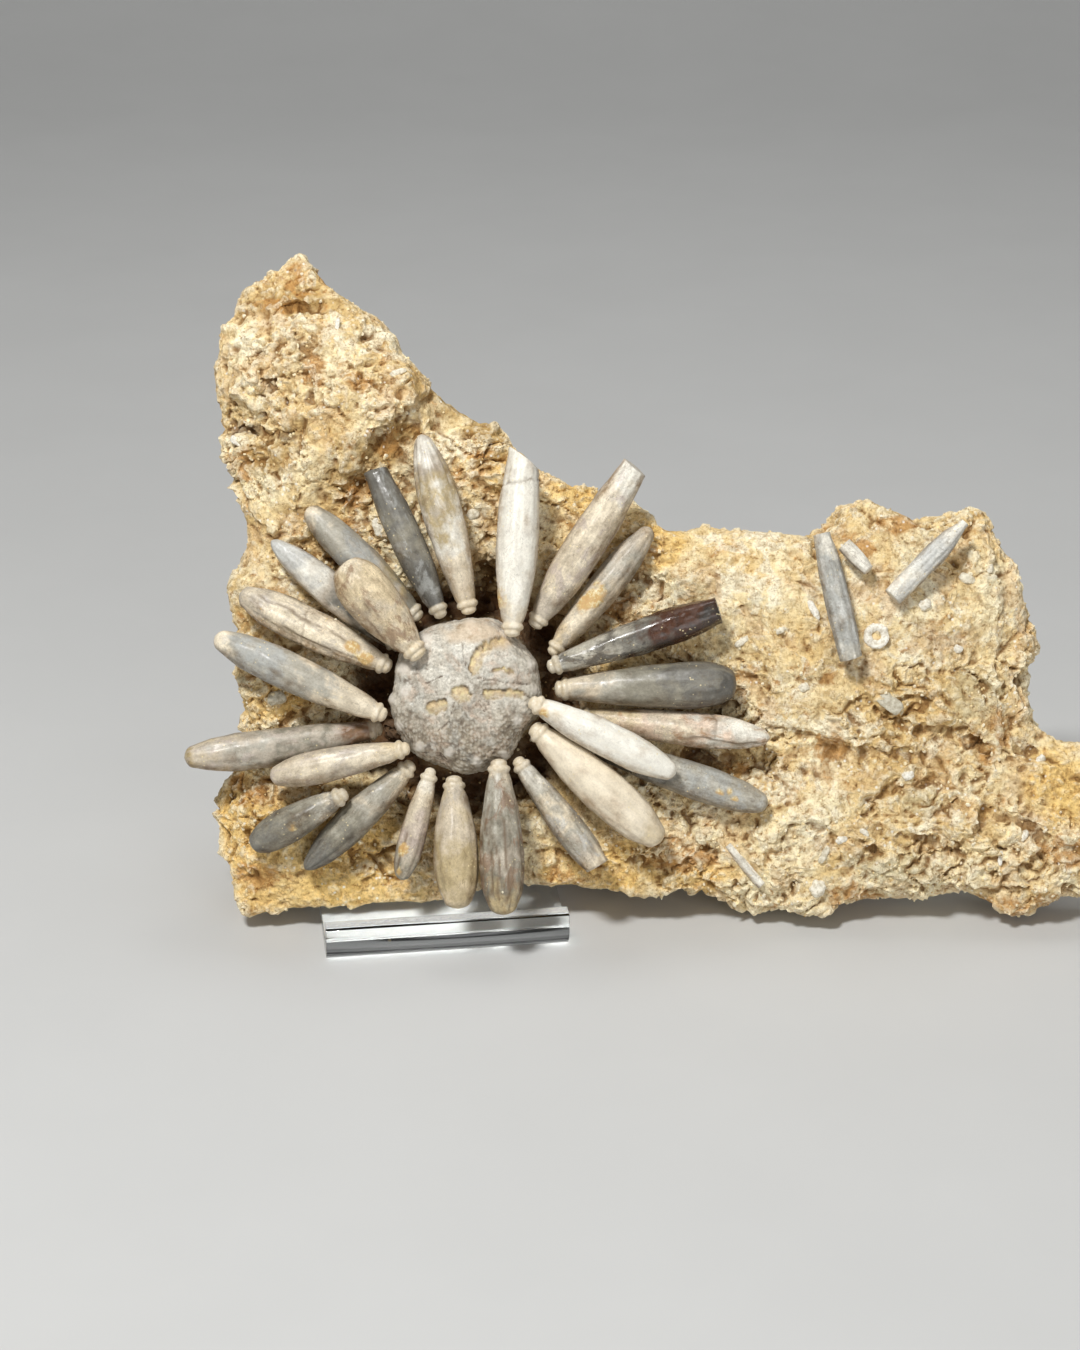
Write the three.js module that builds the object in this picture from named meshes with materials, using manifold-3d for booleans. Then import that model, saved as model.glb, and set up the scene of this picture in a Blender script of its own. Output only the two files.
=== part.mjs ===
// A fossil club-spined sea urchin, on the block of limestone that it was found in, held up by a clear easel.
//
// The block leans back on the easel. Everything on it is placed in the frame of its face: u runs to the
// right, v runs up the face and w stands straight out of it. The centre of the urchin's shell is
// u = v = w = 0, and the long axes of its spines lie near w = 0. Lengths are millimetres and angles degrees.
import * as THREE from "three";
import { mergeVertices } from "three/addons/utils/BufferGeometryUtils.js";
import Module from "manifold-3d";

const wasm = await Module();
wasm.setup();

// ---------------------------------------------------------------- driving dimensions

const LEAN = 25; // how far the face leans back from upright
const CENTRE_HEIGHT = 63; // from the table to the centre of the shell
const GAP = 0.3; // between pieces that touch

const SHELL_RADIUS = 20.3; // of the urchin's shell at its widest
const SPINE_SIDES = 8;
const LOOSE_SIDES = 8;

const BLOCK = { left: -80, right: 186, bottom: -76, top: 130 }; // a frame round the block's outline
const FRONT_CELL = 7; // the grid that the block's face is built on
const BACK_CELL = 15;
const FACE_LEVEL = -8.5; // the face's general level under the spines
const BACK_LEVEL = -41;

const SHEET = 5; // the easel is bent from a sheet this thick
const EASEL = { width: 63.5, centreX: -8.4, front: -28, lip: 10.6, seat: 50, back: 76, splay: 12 };
const EASEL_TURN = 7.5; // the easel stands a little askew under the block
const BEND_RADIUS = 4; // of the sheet's middle line at each bend

// ---------------------------------------------------------------- small helpers

const rad = THREE.MathUtils.degToRad;
const bump = (x) => Math.exp(-x * x);
const step = (x) => THREE.MathUtils.smoothstep(x, 0, 1);

// A closed geometry as a solid that can be cut and joined.
function solidOf(geometry) {
  const bare = new THREE.BufferGeometry();
  const source = geometry.index ? geometry.toNonIndexed() : geometry;
  bare.setAttribute("position", source.getAttribute("position").clone());
  const merged = mergeVertices(bare, 1e-3);
  return new wasm.Manifold(
    new wasm.Mesh({
      numProp: 3,
      vertProperties: merged.attributes.position.array,
      triVerts: new Uint32Array(merged.index.array),
    }),
  );
}

function geometryOf(solid) {
  const mesh = solid.getMesh();
  const geometry = new THREE.BufferGeometry();
  geometry.setAttribute("position", new THREE.BufferAttribute(mesh.vertProperties, 3));
  geometry.setIndex(new THREE.BufferAttribute(mesh.triVerts, 1));
  geometry.computeVertexNormals();
  return geometry;
}

// Moves each point of a geometry to where place(point) puts it.
function reshape(geometry, place) {
  const positions = geometry.getAttribute("position");
  const point = new THREE.Vector3();
  for (let i = 0; i < positions.count; i++) {
    place(point.fromBufferAttribute(positions, i));
    positions.setXYZ(i, point.x, point.y, point.z);
  }
  return geometry;
}

// How far a point is from the stretch between two others.
function awayFrom(u, v, [u0, v0], [u1, v1]) {
  const along = ((u - u0) * (u1 - u0) + (v - v0) * (v1 - v0)) / ((u1 - u0) ** 2 + (v1 - v0) ** 2);
  const t = THREE.MathUtils.clamp(along, 0, 1);
  return Math.hypot(u - u0 - t * (u1 - u0), v - v0 - t * (v1 - v0));
}

function awayFromLine(u, v, points) {
  let least = Infinity;
  for (let i = 1; i < points.length; i++) {
    least = Math.min(least, awayFrom(u, v, points[i - 1], points[i]));
  }
  return least;
}

// ---------------------------------------------------------------- materials

const finish = (color, roughness, more = {}) =>
  new THREE.MeshStandardMaterial({ color, roughness, metalness: 0, ...more });
const MATERIALS = {
  limestone: finish(0xd9bd85, 0.95),
  shell: finish(0x9a8f82, 0.85),
  pale: finish(0xe4d8c0, 0.6),
  tan: finish(0xb9a680, 0.7),
  grey: finish(0x9f998c, 0.55),
  dark: finish(0x4d4b4b, 0.4),
  acrylic: finish(0xeef3f5, 0.05, { transparent: true, opacity: 0.35 }),
};

// ---------------------------------------------------------------- spines

// The shaft's outline past its widest place, from 1 there to its share at the tip.
const TIPS = {
  round: (x) => Math.sqrt(Math.max(0, 1 - x ** 3.2)),
  point: (x) => Math.max(0, 1 - x ** 2.4) ** 0.75,
  stub: (x) => 1 - 0.42 * x ** 2.2, // broken off square
};
const SHAFT_STATIONS = [0.12, 0.34, 0.6, 1]; // shares of the way from the neck to the widest place
const TIP_STATIONS = [0.45, 0.75, 0.92, 1]; // shares of the way from there to the tip

// Half of a spine's outline, as (radius, distance from its base). Its base is a short cone with a milled ring
// round it; a loose fragment has neither.
function spineOutline({ length, radius, swell, tip, fragment }, grow = 0) {
  const ring = 1.2 + 0.28 * radius;
  const neck = fragment ? 0.86 * radius : ring - 0.2;
  const base = fragment
    ? [[neck, 0]]
    : [
        [ring - 1.0, 0],
        [ring - 0.6, 1.6],
        [ring, 2.1],
        [ring, 3.1],
        [neck, 3.7],
      ];
  const start = base.at(-1)[1];
  const widest = swell * length;
  const shaft = SHAFT_STATIONS.map((x) => [
    neck + (radius - neck) * Math.sin((x * Math.PI) / 2),
    start + (widest - start) * x,
  ]);
  const end = TIP_STATIONS.map((x) => [radius * TIPS[tip](x), widest + (length - widest) * x]);
  const rows = [...base, ...shaft, ...end].filter(([r]) => r > 0.05);
  const points = rows.map(([r, y]) => new THREE.Vector2(r + grow, y));
  points[0].y -= grow;
  points.at(-1).y += grow;
  return [
    new THREE.Vector2(0, -grow),
    ...points,
    new THREE.Vector2(0, length + grow),
  ];
}

// A spine's geometry, from its base at the origin up +Y. A bend bows its middle sideways.
function spineGeometry(spine, grow = 0) {
  const sides = spine.fragment ? LOOSE_SIDES : SPINE_SIDES;
  const geometry = new THREE.LatheGeometry(spineOutline(spine, grow), sides);
  return reshape(geometry, (p) => {
    p.x += (spine.bend ?? 0) * Math.sin((Math.PI * p.y) / spine.length);
  });
}

// Each spine runs from its base to its tip, in the face's frame. swell is how far along it is widest.
const SPINES = [
  ["spine_01", "pale", [0.8, 21.0, 0.0], [-12.0, 67.8, -1.0], 5.5, 0.6, "point"],
  ["spine_02", "pale", [11.7, 15.0, 6.8], [14.6, 64.0, 2.5], 5.7, 0.48, "stub"],
  ["spine_03", "grey", [17.2, 17.6, -1.5], [43.9, 59.5, 3.0], 5.5, 0.42, "stub"],
  ["spine_04", "tan", [21.8, 10.4, -3.4], [48.0, 43.6, -4.0], 4.4, 0.5, "round"],
  ["spine_05", "dark", [20.9, 7.0, 2.4], [65.7, 22.2, 2.2], 4.9, 0.7, "stub"],
  ["spine_06", "grey", [22.8, 1.5, -0.5], [70.2, 2.9, -1.0], 6.4, 0.76, "round"],
  ["spine_07", "pale", [28.3, -5.5, -4.4], [79.0, -11.2, -2.4], 4.8, 0.66, "point"],
  ["spine_08", "pale", [16.2, -1.4, 7.8], [54.0, -20.4, 5.4], 4.8, 0.52, "round"],
  ["spine_09", "grey", [30.6, -12.6, -5.4], [78.4, -28.9, -3.0], 5.0, 0.6, "round"],
  ["spine_10", "pale", [16.9, -8.0, 3.2], [50.4, -38.2, 1.4], 6.1, 0.55, "round"],
  ["spine_11", "grey", [12.7, -16.4, 0.0], [34.3, -45.0, -1.8], 4.3, 0.72, "stub"],
  ["spine_12", "tan", [8.3, -16.4, 6.6], [9.6, -56.7, 7.4], 5.9, 0.62, "round"],
  ["spine_13", "tan", [-3.4, -20.9, 1.6], [-2.1, -55.1, 7.2], 5.9, 0.55, "round"],
  ["spine_14", "tan", [-9.2, -18.9, 0.6], [-17.2, -48.1, -0.6], 3.6, 0.62, "round"],
  ["spine_15", "grey", [-14.0, -17.6, 0.2], [-42.4, -45.5, -3.4], 4.9, 0.52, "point"],
  ["spine_16", "grey", [-30.9, -25.2, 4.4], [-56.2, -39.3, -1.6], 4.8, 0.6, "round"],
  ["spine_17", "tan", [-14.6, -13.6, 5.4], [-51.0, -21.3, 2.0], 4.5, 0.62, "round"],
  ["spine_18", "grey", [-22.2, -8.6, -5.0], [-73.6, -16.4, -1.0], 5.2, 0.6, "round", -0.8],
  ["spine_19", "grey", [-20.8, -5.6, 3.0], [-65.5, 15.1, 1.4], 5.2, 0.54, "round"],
  ["spine_20", "pale", [-19.7, 7.0, -0.4], [-59.3, 26.5, -2.6], 5.4, 0.55, "round"],
  ["spine_21", "pale", [-17.2, 12.2, -3.6], [-51.0, 40.2, -1.6], 4.8, 0.52, "point"],
  ["spine_22", "tan", [-11.7, 9.6, 9.9], [-31.8, 33.8, 9.2], 7.1, 0.66, "round"],
  ["spine_23", "grey", [-12.2, 19.9, -3.8], [-41.9, 48.6, -2.6], 4.8, 0.52, "round"],
  ["spine_24", "dark", [-6.4, 20.0, 1.4], [-24.1, 58.8, -1.2], 4.6, 0.5, "stub"],
].map(([name, look, from, to, radius, swell, tip, bend]) => ({
  name, look, from, to, radius, swell, tip, bend,
}));

// Fragments of other spines, lying loose on the right of the block.
const FRAGMENTS = [
  ["loose_spine_long", "grey", [99.9, 9.0, 1.8], [92.2, 42.2, 0.0], 3.4, 0.5, "stub"],
  ["loose_spine_short", "pale", [97.8, 39.4, 0.6], [104.6, 32.2, 1.0], 2.2, 0.5, "stub"],
  ["loose_spine_pale", "pale", [110.3, 25.2, 1.4], [129.6, 44.8, 0.2], 3.0, 0.55, "point"],
  ["loose_sliver", "pale", [77.6, -50.4, -9.6], [68.2, -39.2, -8.4], 1.3, 0.5, "stub"],
].map(([name, look, from, to, radius, swell, tip]) => ({
  name, look, from, to, radius, swell, tip, fragment: true,
}));

for (const spine of [...SPINES, ...FRAGMENTS]) {
  spine.from = new THREE.Vector3(...spine.from);
  spine.to = new THREE.Vector3(...spine.to);
  spine.length = spine.from.distanceTo(spine.to);
}

const UP = new THREE.Vector3(0, 1, 0);
const directionOf = (spine) => spine.to.clone().sub(spine.from).normalize();

function spineMesh(spine) {
  const mesh = new THREE.Mesh(spineGeometry(spine), MATERIALS[spine.look]);
  mesh.name = spine.name;
  mesh.position.copy(spine.from);
  mesh.quaternion.setFromUnitVectors(UP, directionOf(spine));
  return mesh;
}

// The room that a spine needs in the block, as a solid in the face's frame.
function spineRoom(spine) {
  const place = new THREE.Matrix4().compose(
    spine.from,
    new THREE.Quaternion().setFromUnitVectors(UP, directionOf(spine)),
    new THREE.Vector3(1, 1, 1),
  );
  return solidOf(spineGeometry(spine, GAP).applyMatrix4(place));
}

// ---------------------------------------------------------------- the urchin's shell

const FLATTENED = { towards: -28, width: 30, by: 0.1 }; // the shell's lower right is pressed in a little

// The shell: a low dome with a dimple at its crown, sunk in the block from its widest place down.
function shellGeometry(grow = 0) {
  const R = SHELL_RADIUS;
  const outline = [
    [0, -13.5],
    [0.5 * R, -13],
    [0.84 * R, -9.5],
    [0.98 * R, -4.5],
    [R, -0.5],
    [0.95 * R, 3.2],
    [0.83 * R, 6.2],
    [0.6 * R, 8.4],
    [0.34 * R, 9.4],
    [0.13 * R, 9.6],
    [0.09 * R, 8.8],
    [0, 8.6],
  ];
  const points = outline.map(
    ([r, w]) => new THREE.Vector2(r === 0 ? 0 : r + grow, w + grow * Math.sign(w)),
  );
  const geometry = new THREE.LatheGeometry(points, 26);
  geometry.rotateX(Math.PI / 2);
  return reshape(geometry, (p) => {
    const angle = THREE.MathUtils.radToDeg(Math.atan2(p.y, p.x));
    const pressed = 1 - FLATTENED.by * bump((angle - FLATTENED.towards) / FLATTENED.width);
    p.x *= pressed;
    p.y *= pressed;
  });
}

// ---------------------------------------------------------------- the block

// The block's outline in the face's frame, clockwise from its peak. The right end, past u = 160, is plain.
const OUTLINE = [
  [-45.5, 119], [-40, 112.5], [-33.5, 106.5], [-26.5, 101.5], [-21.5, 95.5], [-17.5, 89], [-12, 85],
  [-8, 80.5], [1.5, 74], [9, 68.5], [12, 64.5], [18.5, 60], [26.5, 56.5], [35, 53], [45, 52],
  [48.5, 49.5], [51, 46], [57.5, 44], [62.5, 45], [67.5, 43.5], [80, 43], [89, 42.5], [96, 43.5],
  [99, 49.5], [104, 52], [110.5, 50], [118, 47], [130.5, 47.5], [137, 50], [139.5, 48], [141.5, 42],
  [146, 35.5], [149, 26.5], [150.5, 20], [150, 13], [151.5, 2.5], [150.5, -5.5], [157, -12.5],
  [163.5, -13.5], [171, -17.5], [175, -26], [173, -36], [176, -46.5], [169, -54.5], [157, -56],
  [145, -58.5], [133, -54], [121, -55.5], [109, -54.5], [95.5, -58.5], [80, -58], [70.5, -58.5],
  [65, -55.5], [58.5, -51], [46.5, -53.5], [35, -53.5], [28, -50.5], [20, -51.5], [11, -50.5],
  [2, -52.5], [-8, -55.5], [-24, -57], [-37.5, -59.5], [-48, -62], [-60.5, -59.5], [-62.5, -52],
  [-66, -41.5], [-68.5, -32], [-66.5, -24], [-61.5, -18.5], [-60.5, -5.5], [-62.5, 6.5], [-64, 17],
  [-65, 29], [-59.5, 38], [-60.5, 47.5], [-61.5, 54], [-66, 63.5], [-66.5, 75.5], [-68.5, 90.5],
  [-67, 99], [-64, 100], [-60, 107], [-52.5, 113.5],
];

// Broad rises and hollows of the face: where, how wide each way, how high.
const SWELLS = [
  { at: [-36, 84], reach: [34, 26], rise: 9.5 }, // the tall left shoulder
  { at: [-30, 48], reach: [26, 12], rise: 2 },
  { at: [4, 66], reach: [22, 12], rise: 5.5 },
  { at: [60, 40], reach: [26, 14], rise: 4 },
  { at: [92, 16], reach: [26, 26], rise: 6 }, // the smooth shelf past the right-hand tips
  { at: [118, 22], reach: [26, 30], rise: 3 },
  { at: [126, -31], reach: [9, 5], rise: 3 },
  { at: [98, -38], reach: [18, 9], rise: 2 },
  { at: [152, -38], reach: [22, 18], rise: 2 },
  { at: [-53, -34], reach: [13, 15], rise: 3.5 }, // the lobe below the left-hand spines
  { at: [-56, 28], reach: [12, 14], rise: 3 },
  { at: [-54, 71], reach: [7, 4], rise: -6.5 }, // a dark hollow in the left edge
  { at: [-45, 107], reach: [12, 9], rise: -3 },
  { at: [3, -46], reach: [12, 9], rise: -6 }, // between the two lowest spines
  { at: [56, -6], reach: [22, 7], rise: -4 },
  { at: [66, -17], reach: [13, 5], rise: -5 },
];

// Cracks that run across the face: their line, and how wide and deep they are.
const CRACKS = [
  { line: [[80, -10], [92, -9], [104, -7], [118, -8], [130, -11], [143, -18]], width: 3, depth: 3.2 },
  { line: [[94, -20], [112, -22], [124, -23], [137, -27], [152, -32]], width: 3, depth: 2.6 },
  { line: [[119, -27], [126, -37], [136, -36]], width: 2.4, depth: 1.8 },
  { line: [[-57, 103], [-46, 103], [-34, 106]], width: 3, depth: 1.8 },
];
const LEDGE = { from: [-33, 58], to: [-8, 77], rise: 4.2, width: 5 }; // a step above the topmost spine
const MOAT = { radius: 25, width: 7, depth: 5.5 }; // cut round the shell
const ROUNDING = { reach: 4.5, drop: 6.5 }; // how the face falls away at its outline
const SEAT = { from: -45, to: 27, runout: 12 }; // between these the block stands on the easel's seat

// Low waves in three directions, of about a given length and height.
function waves(u, v, length, height) {
  const k = (2 * Math.PI) / length;
  return (
    (height / 3) *
    (Math.sin(k * (u + 0.4 * v) + 1) +
      Math.sin(k * (0.9 * v - 0.5 * u) + 4) +
      Math.sin(k * 1.3 * (0.6 * u + v) + 2))
  );
}

function ledge(u, v) {
  const [u0, v0] = LEDGE.from;
  const [u1, v1] = LEDGE.to;
  const above = ((u1 - u0) * (v - v0) - (v1 - v0) * (u - u0)) / Math.hypot(u1 - u0, v1 - v0);
  const near = bump(Math.max(0, awayFrom(u, v, LEDGE.from, LEDGE.to) - 10) / 12);
  return LEDGE.rise * near * (step(0.5 + above / LEDGE.width) - 0.5);
}

// How far out of the face's frame the block stands at (u, v), front and back.
function faceLevel(u, v) {
  let w = FACE_LEVEL + ledge(u, v);
  for (const { at, reach, rise } of SWELLS) {
    w += rise * bump((u - at[0]) / reach[0]) * bump((v - at[1]) / reach[1]);
  }
  for (const { line, width, depth } of CRACKS) {
    w -= depth * bump(awayFromLine(u, v, line) / width);
  }
  w -= MOAT.depth * bump((Math.hypot(u, v) - MOAT.radius) / MOAT.width);
  w -= ROUNDING.drop * Math.exp(-awayFromLine(u, v, [...OUTLINE, OUTLINE[0]]) / ROUNDING.reach);
  return w + waves(u, v, 31, 1.6) + waves(v, u, 13, 1.1);
}

function backLevel(u, v) {
  const thinner = 13 * step((v - 20) / 110) + 13 * step((u - 30) / 150);
  const turned = 0.11 * (u - EASEL.centreX) * bump((u - EASEL.centreX) / 60);
  const edge = 9 * Math.exp(-awayFromLine(u, v, [...OUTLINE, OUTLINE[0]]) / 8);
  return BACK_LEVEL + thinner - turned + edge + waves(u, v, 47, 4) + waves(v, u, 23, 2);
}

// A box over the whole block, with its +w face and its -w face each at a level of their own.
function slab(cell, front, back) {
  const wide = BLOCK.right - BLOCK.left;
  const high = BLOCK.top - BLOCK.bottom;
  const box = new THREE.BoxGeometry(wide, high, 2, Math.round(wide / cell), Math.round(high / cell), 1);
  box.translate(BLOCK.left + wide / 2, BLOCK.bottom + high / 2, 0);
  return reshape(box, (p) => {
    p.z = p.z > 0 ? front(p.x, p.y) : back(p.x, p.y);
  });
}

// The broken side of the block: its outline run from back to front, roughened, and drawn in towards the back.
function sides() {
  const shape = new THREE.Shape(OUTLINE.map(([u, v]) => new THREE.Vector2(u, v)));
  const depth = 84;
  const geometry = new THREE.ExtrudeGeometry(shape, { depth, steps: 7, bevelEnabled: false });
  geometry.translate(0, 0, -62);
  return reshape(geometry, (p) => {
    const behind = Math.max(0, -8 - p.z);
    const inwards = 1 - 0.0012 * behind;
    const rough = Math.min(1, behind / 8);
    const { x, y } = p;
    p.x = 40 + (x - 40) * inwards + rough * waves(y, p.z * 1.7, 21, 2.6);
    p.y = 10 + (y - 10) * inwards + rough * waves(x, p.z * 1.7, 24, 2.6);
  });
}

// Everything above what the block stands on: the easel's seat on the left, and the table on the right, which
// its rough underside only touches here and there.
function aboveTable() {
  const box = new THREE.BoxGeometry(280, 150, 190, 24, 12, 1);
  box.translate(52, 0, 95);
  return reshape(box, (p) => {
    if (p.z < 1) {
      const beyond = Math.max(p.x - SEAT.to, SEAT.from - p.x);
      const onSeat = 1 - step(beyond / SEAT.runout);
      const rough = Math.max(0, 1.2 + waves(p.x, p.y, 26, 5));
      p.z = (SHEET + GAP) * onSeat + rough * (1 - 0.8 * onSeat);
    }
  });
}

// ---------------------------------------------------------------- the easel

// The middle line of the easel's sheet, seen from its end as (y, z): lip, seat, back, hind leg.
function easelLine() {
  const lean = rad(LEAN);
  const low = SHEET / 2;
  const lipY = EASEL.front + low;
  const heelY = lipY + EASEL.seat;
  const topY = heelY + EASEL.back * Math.sin(lean);
  const topZ = low + EASEL.back * Math.cos(lean);
  return [
    [lipY, EASEL.lip],
    [lipY, low],
    [heelY, low],
    [topY, topZ],
    [topY + EASEL.splay, 0],
  ].map(([y, z]) => new THREE.Vector2(y, z));
}

// The sheet's outline: both sides of its middle line, with each bend rounded.
function easelShape(grow = 0) {
  const corners = easelLine();
  const half = SHEET / 2 + grow;
  const near = [];
  const far = [];
  const put = (point, normal) => {
    near.push(point.clone().addScaledVector(normal, half));
    far.push(point.clone().addScaledVector(normal, -half));
  };
  const normalOf = (d) => new THREE.Vector2(-d.y, d.x);
  const headings = corners.slice(1).map((c, i) => c.clone().sub(corners[i]).normalize());
  put(corners[0].clone().addScaledVector(headings[0], -grow), normalOf(headings[0]));
  for (let i = 1; i < corners.length - 1; i++) {
    const before = headings[i - 1];
    const turn = before.cross(headings[i]);
    const angle = Math.sign(turn) * Math.acos(THREE.MathUtils.clamp(before.dot(headings[i]), -1, 1));
    const cut = BEND_RADIUS * Math.tan(Math.abs(angle) / 2);
    const start = corners[i].clone().addScaledVector(before, -cut);
    const centre = start.clone().addScaledVector(normalOf(before), Math.sign(angle) * BEND_RADIUS);
    const pieces = Math.ceil(Math.abs(angle) / rad(10));
    for (let k = 0; k <= pieces; k++) {
      const point = start.clone().rotateAround(centre, (angle * k) / pieces);
      put(point, normalOf(before.clone().rotateAround(new THREE.Vector2(), (angle * k) / pieces)));
    }
  }
  // The hind leg is cut off level with the table.
  const last = headings.at(-1);
  const foot = (side) => {
    const point = corners.at(-1).clone().addScaledVector(normalOf(last), side * half);
    return point.addScaledVector(last, -point.y / last.y);
  };
  near.push(foot(1));
  far.push(foot(-1));
  return new THREE.Shape([...near, ...far.reverse()]);
}

// The easel's geometry, standing on the table under the block.
function easelGeometry(grow = 0) {
  const width = EASEL.width + 2 * grow;
  const geometry = new THREE.ExtrudeGeometry(easelShape(grow), { depth: width, bevelEnabled: false });
  geometry.translate(0, 0, -width / 2);
  const [x, y, z] = [new THREE.Vector3(1, 0, 0), new THREE.Vector3(0, 1, 0), new THREE.Vector3(0, 0, 1)];
  geometry.applyMatrix4(new THREE.Matrix4().makeBasis(y, z, x));
  geometry.rotateZ(rad(EASEL_TURN));
  return geometry.translate(EASEL.centreX, 0, 0);
}

// ---------------------------------------------------------------- putting it together

const face = new THREE.Group(); // the block's face and all that is on it
face.rotation.x = rad(90 - LEAN);
face.position.z = CENTRE_HEIGHT;
face.updateMatrixWorld(true);
const ontoFace = face.matrixWorld.clone().invert();

function blockGeometry() {
  let block = solidOf(sides())
    .intersect(solidOf(slab(FRONT_CELL, faceLevel, () => -90)))
    .intersect(solidOf(slab(BACK_CELL, () => 40, backLevel)))
    .intersect(solidOf(aboveTable().applyMatrix4(ontoFace)))
    .subtract(solidOf(shellGeometry(GAP)))
    .subtract(solidOf(easelGeometry(GAP).applyMatrix4(ontoFace)));
  for (const spine of [...SPINES, ...FRAGMENTS]) {
    block = block.subtract(spineRoom(spine));
  }
  const crumbs = block.decompose().sort((a, b) => b.volume() - a.volume());
  return geometryOf(crumbs[0]);
}

function named(name, geometry, material) {
  const mesh = new THREE.Mesh(geometry, material);
  mesh.name = name;
  return mesh;
}

face.add(named("limestone_block", blockGeometry(), MATERIALS.limestone));
face.add(named("urchin_shell", shellGeometry(), MATERIALS.shell));
for (const spine of [...SPINES, ...FRAGMENTS]) {
  face.add(spineMesh(spine));
}

const model = new THREE.Group();
model.add(face);
model.add(named("easel", easelGeometry(), MATERIALS.acrylic));

// The origin is under the middle of the whole, on the table.
const box = new THREE.Box3().setFromObject(model, true);
const middle = box.getCenter(new THREE.Vector3());
model.position.set(-middle.x, -middle.y, -box.min.z);

export default model;
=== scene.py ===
"""A fossil club-spined sea urchin on its block of limestone, which leans back on a clear easel.

The block, the shell and the spines are modelled here round the solids of the frame. Most of the work
is done in the frame of the block's face, in millimetres: u runs to the right, v up the face and w out
of it, and the middle of the shell is u = v = w = 0.
"""

import math
from itertools import product

import bmesh
import bpy
import numpy as np
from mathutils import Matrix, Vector
from mathutils.kdtree import KDTree


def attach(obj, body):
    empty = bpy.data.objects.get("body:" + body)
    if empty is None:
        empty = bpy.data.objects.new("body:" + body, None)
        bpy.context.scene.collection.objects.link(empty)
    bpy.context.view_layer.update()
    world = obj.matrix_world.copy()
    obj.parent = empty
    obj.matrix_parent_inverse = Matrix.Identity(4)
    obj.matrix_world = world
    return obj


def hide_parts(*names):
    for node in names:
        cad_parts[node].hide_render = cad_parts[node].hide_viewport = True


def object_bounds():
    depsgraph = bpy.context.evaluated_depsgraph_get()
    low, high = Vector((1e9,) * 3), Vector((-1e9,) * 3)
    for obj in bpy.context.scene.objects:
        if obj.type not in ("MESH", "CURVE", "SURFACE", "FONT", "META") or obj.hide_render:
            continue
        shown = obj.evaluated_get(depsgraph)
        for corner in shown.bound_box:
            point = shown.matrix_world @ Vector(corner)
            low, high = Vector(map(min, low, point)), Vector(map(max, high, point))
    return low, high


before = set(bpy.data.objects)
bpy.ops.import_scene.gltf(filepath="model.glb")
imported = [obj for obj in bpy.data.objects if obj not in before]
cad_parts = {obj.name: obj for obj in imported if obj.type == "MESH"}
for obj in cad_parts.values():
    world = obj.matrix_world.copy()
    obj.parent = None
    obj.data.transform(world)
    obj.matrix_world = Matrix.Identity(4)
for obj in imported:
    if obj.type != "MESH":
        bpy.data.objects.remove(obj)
cad_box = [list(corner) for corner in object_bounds()]

MM = 0.001

# ---------------------------------------------------------------- the face's frame

LEAN = math.radians(25)
SHELL_DEPTH = 13.5  # from the face's zero level down to the shell's underside
U = np.array([1.0, 0.0, 0.0])
V = np.array([0.0, math.sin(LEAN), math.cos(LEAN)])
W = np.array([0.0, -math.cos(LEAN), math.sin(LEAN)])
AXES = np.array([U, V, W])


def node_points(name):
    return mesh_points(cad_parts[name].data)


def mesh_points(mesh):
    points = np.empty(len(mesh.vertices) * 3)
    mesh.vertices.foreach_get("co", points)
    return points.reshape(-1, 3)


shell_points = node_points("urchin_shell")
ORIGIN = shell_points[np.argmin(shell_points @ W)] + SHELL_DEPTH * MM * W


def to_face(points):
    return (points - ORIGIN) @ AXES.T / MM


def from_face(points):
    return ORIGIN + points * MM @ AXES


# ---------------------------------------------------------------- rough textures as numbers


def hashed(cells, seed):
    """A number from 0 to 1 for each cell of a lattice."""
    c = (cells & 0xFFFFFFFF).astype(np.uint32)
    h = c[..., 0] * np.uint32(73856093) ^ c[..., 1] * np.uint32(19349663)
    h = h ^ c[..., 2] * np.uint32(83492791)
    h = h ^ np.uint32((seed * 2654435761 + 12345) & 0xFFFFFFFF)
    for _ in range(2):
        h = (h ^ (h >> np.uint32(15))) * np.uint32(2246822519)
        h = (h ^ (h >> np.uint32(13))) * np.uint32(3266489917)
    return ((h ^ (h >> np.uint32(16))) & np.uint32(0xFFFFFF)) / 16777215.0


def cloud(points, size, seed):
    """Smooth noise from about -1 to 1 with features of about a given size."""
    q = points / size
    base = np.floor(q).astype(np.int64)
    f = q - base
    fade = f * f * f * (f * (f * 6 - 15) + 10)
    total = np.zeros(len(points))
    for corner in product((0, 1), repeat=3):
        cell = base + np.array(corner)
        away = f - np.array(corner)
        slope = sum((hashed(cell, seed + 7 * k) * 2 - 1) * away[:, k] for k in range(3))
        share = np.prod(np.where(np.array(corner), fade, 1 - fade), axis=1)
        total += share * slope
    return total * 1.6  # brings its range to about -1 to 1


def clouds(points, size, octaves, seed, gain=0.5):
    return sum(gain**k * cloud(points, size / 2.03**k, seed + 31 * k) for k in range(octaves))


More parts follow.
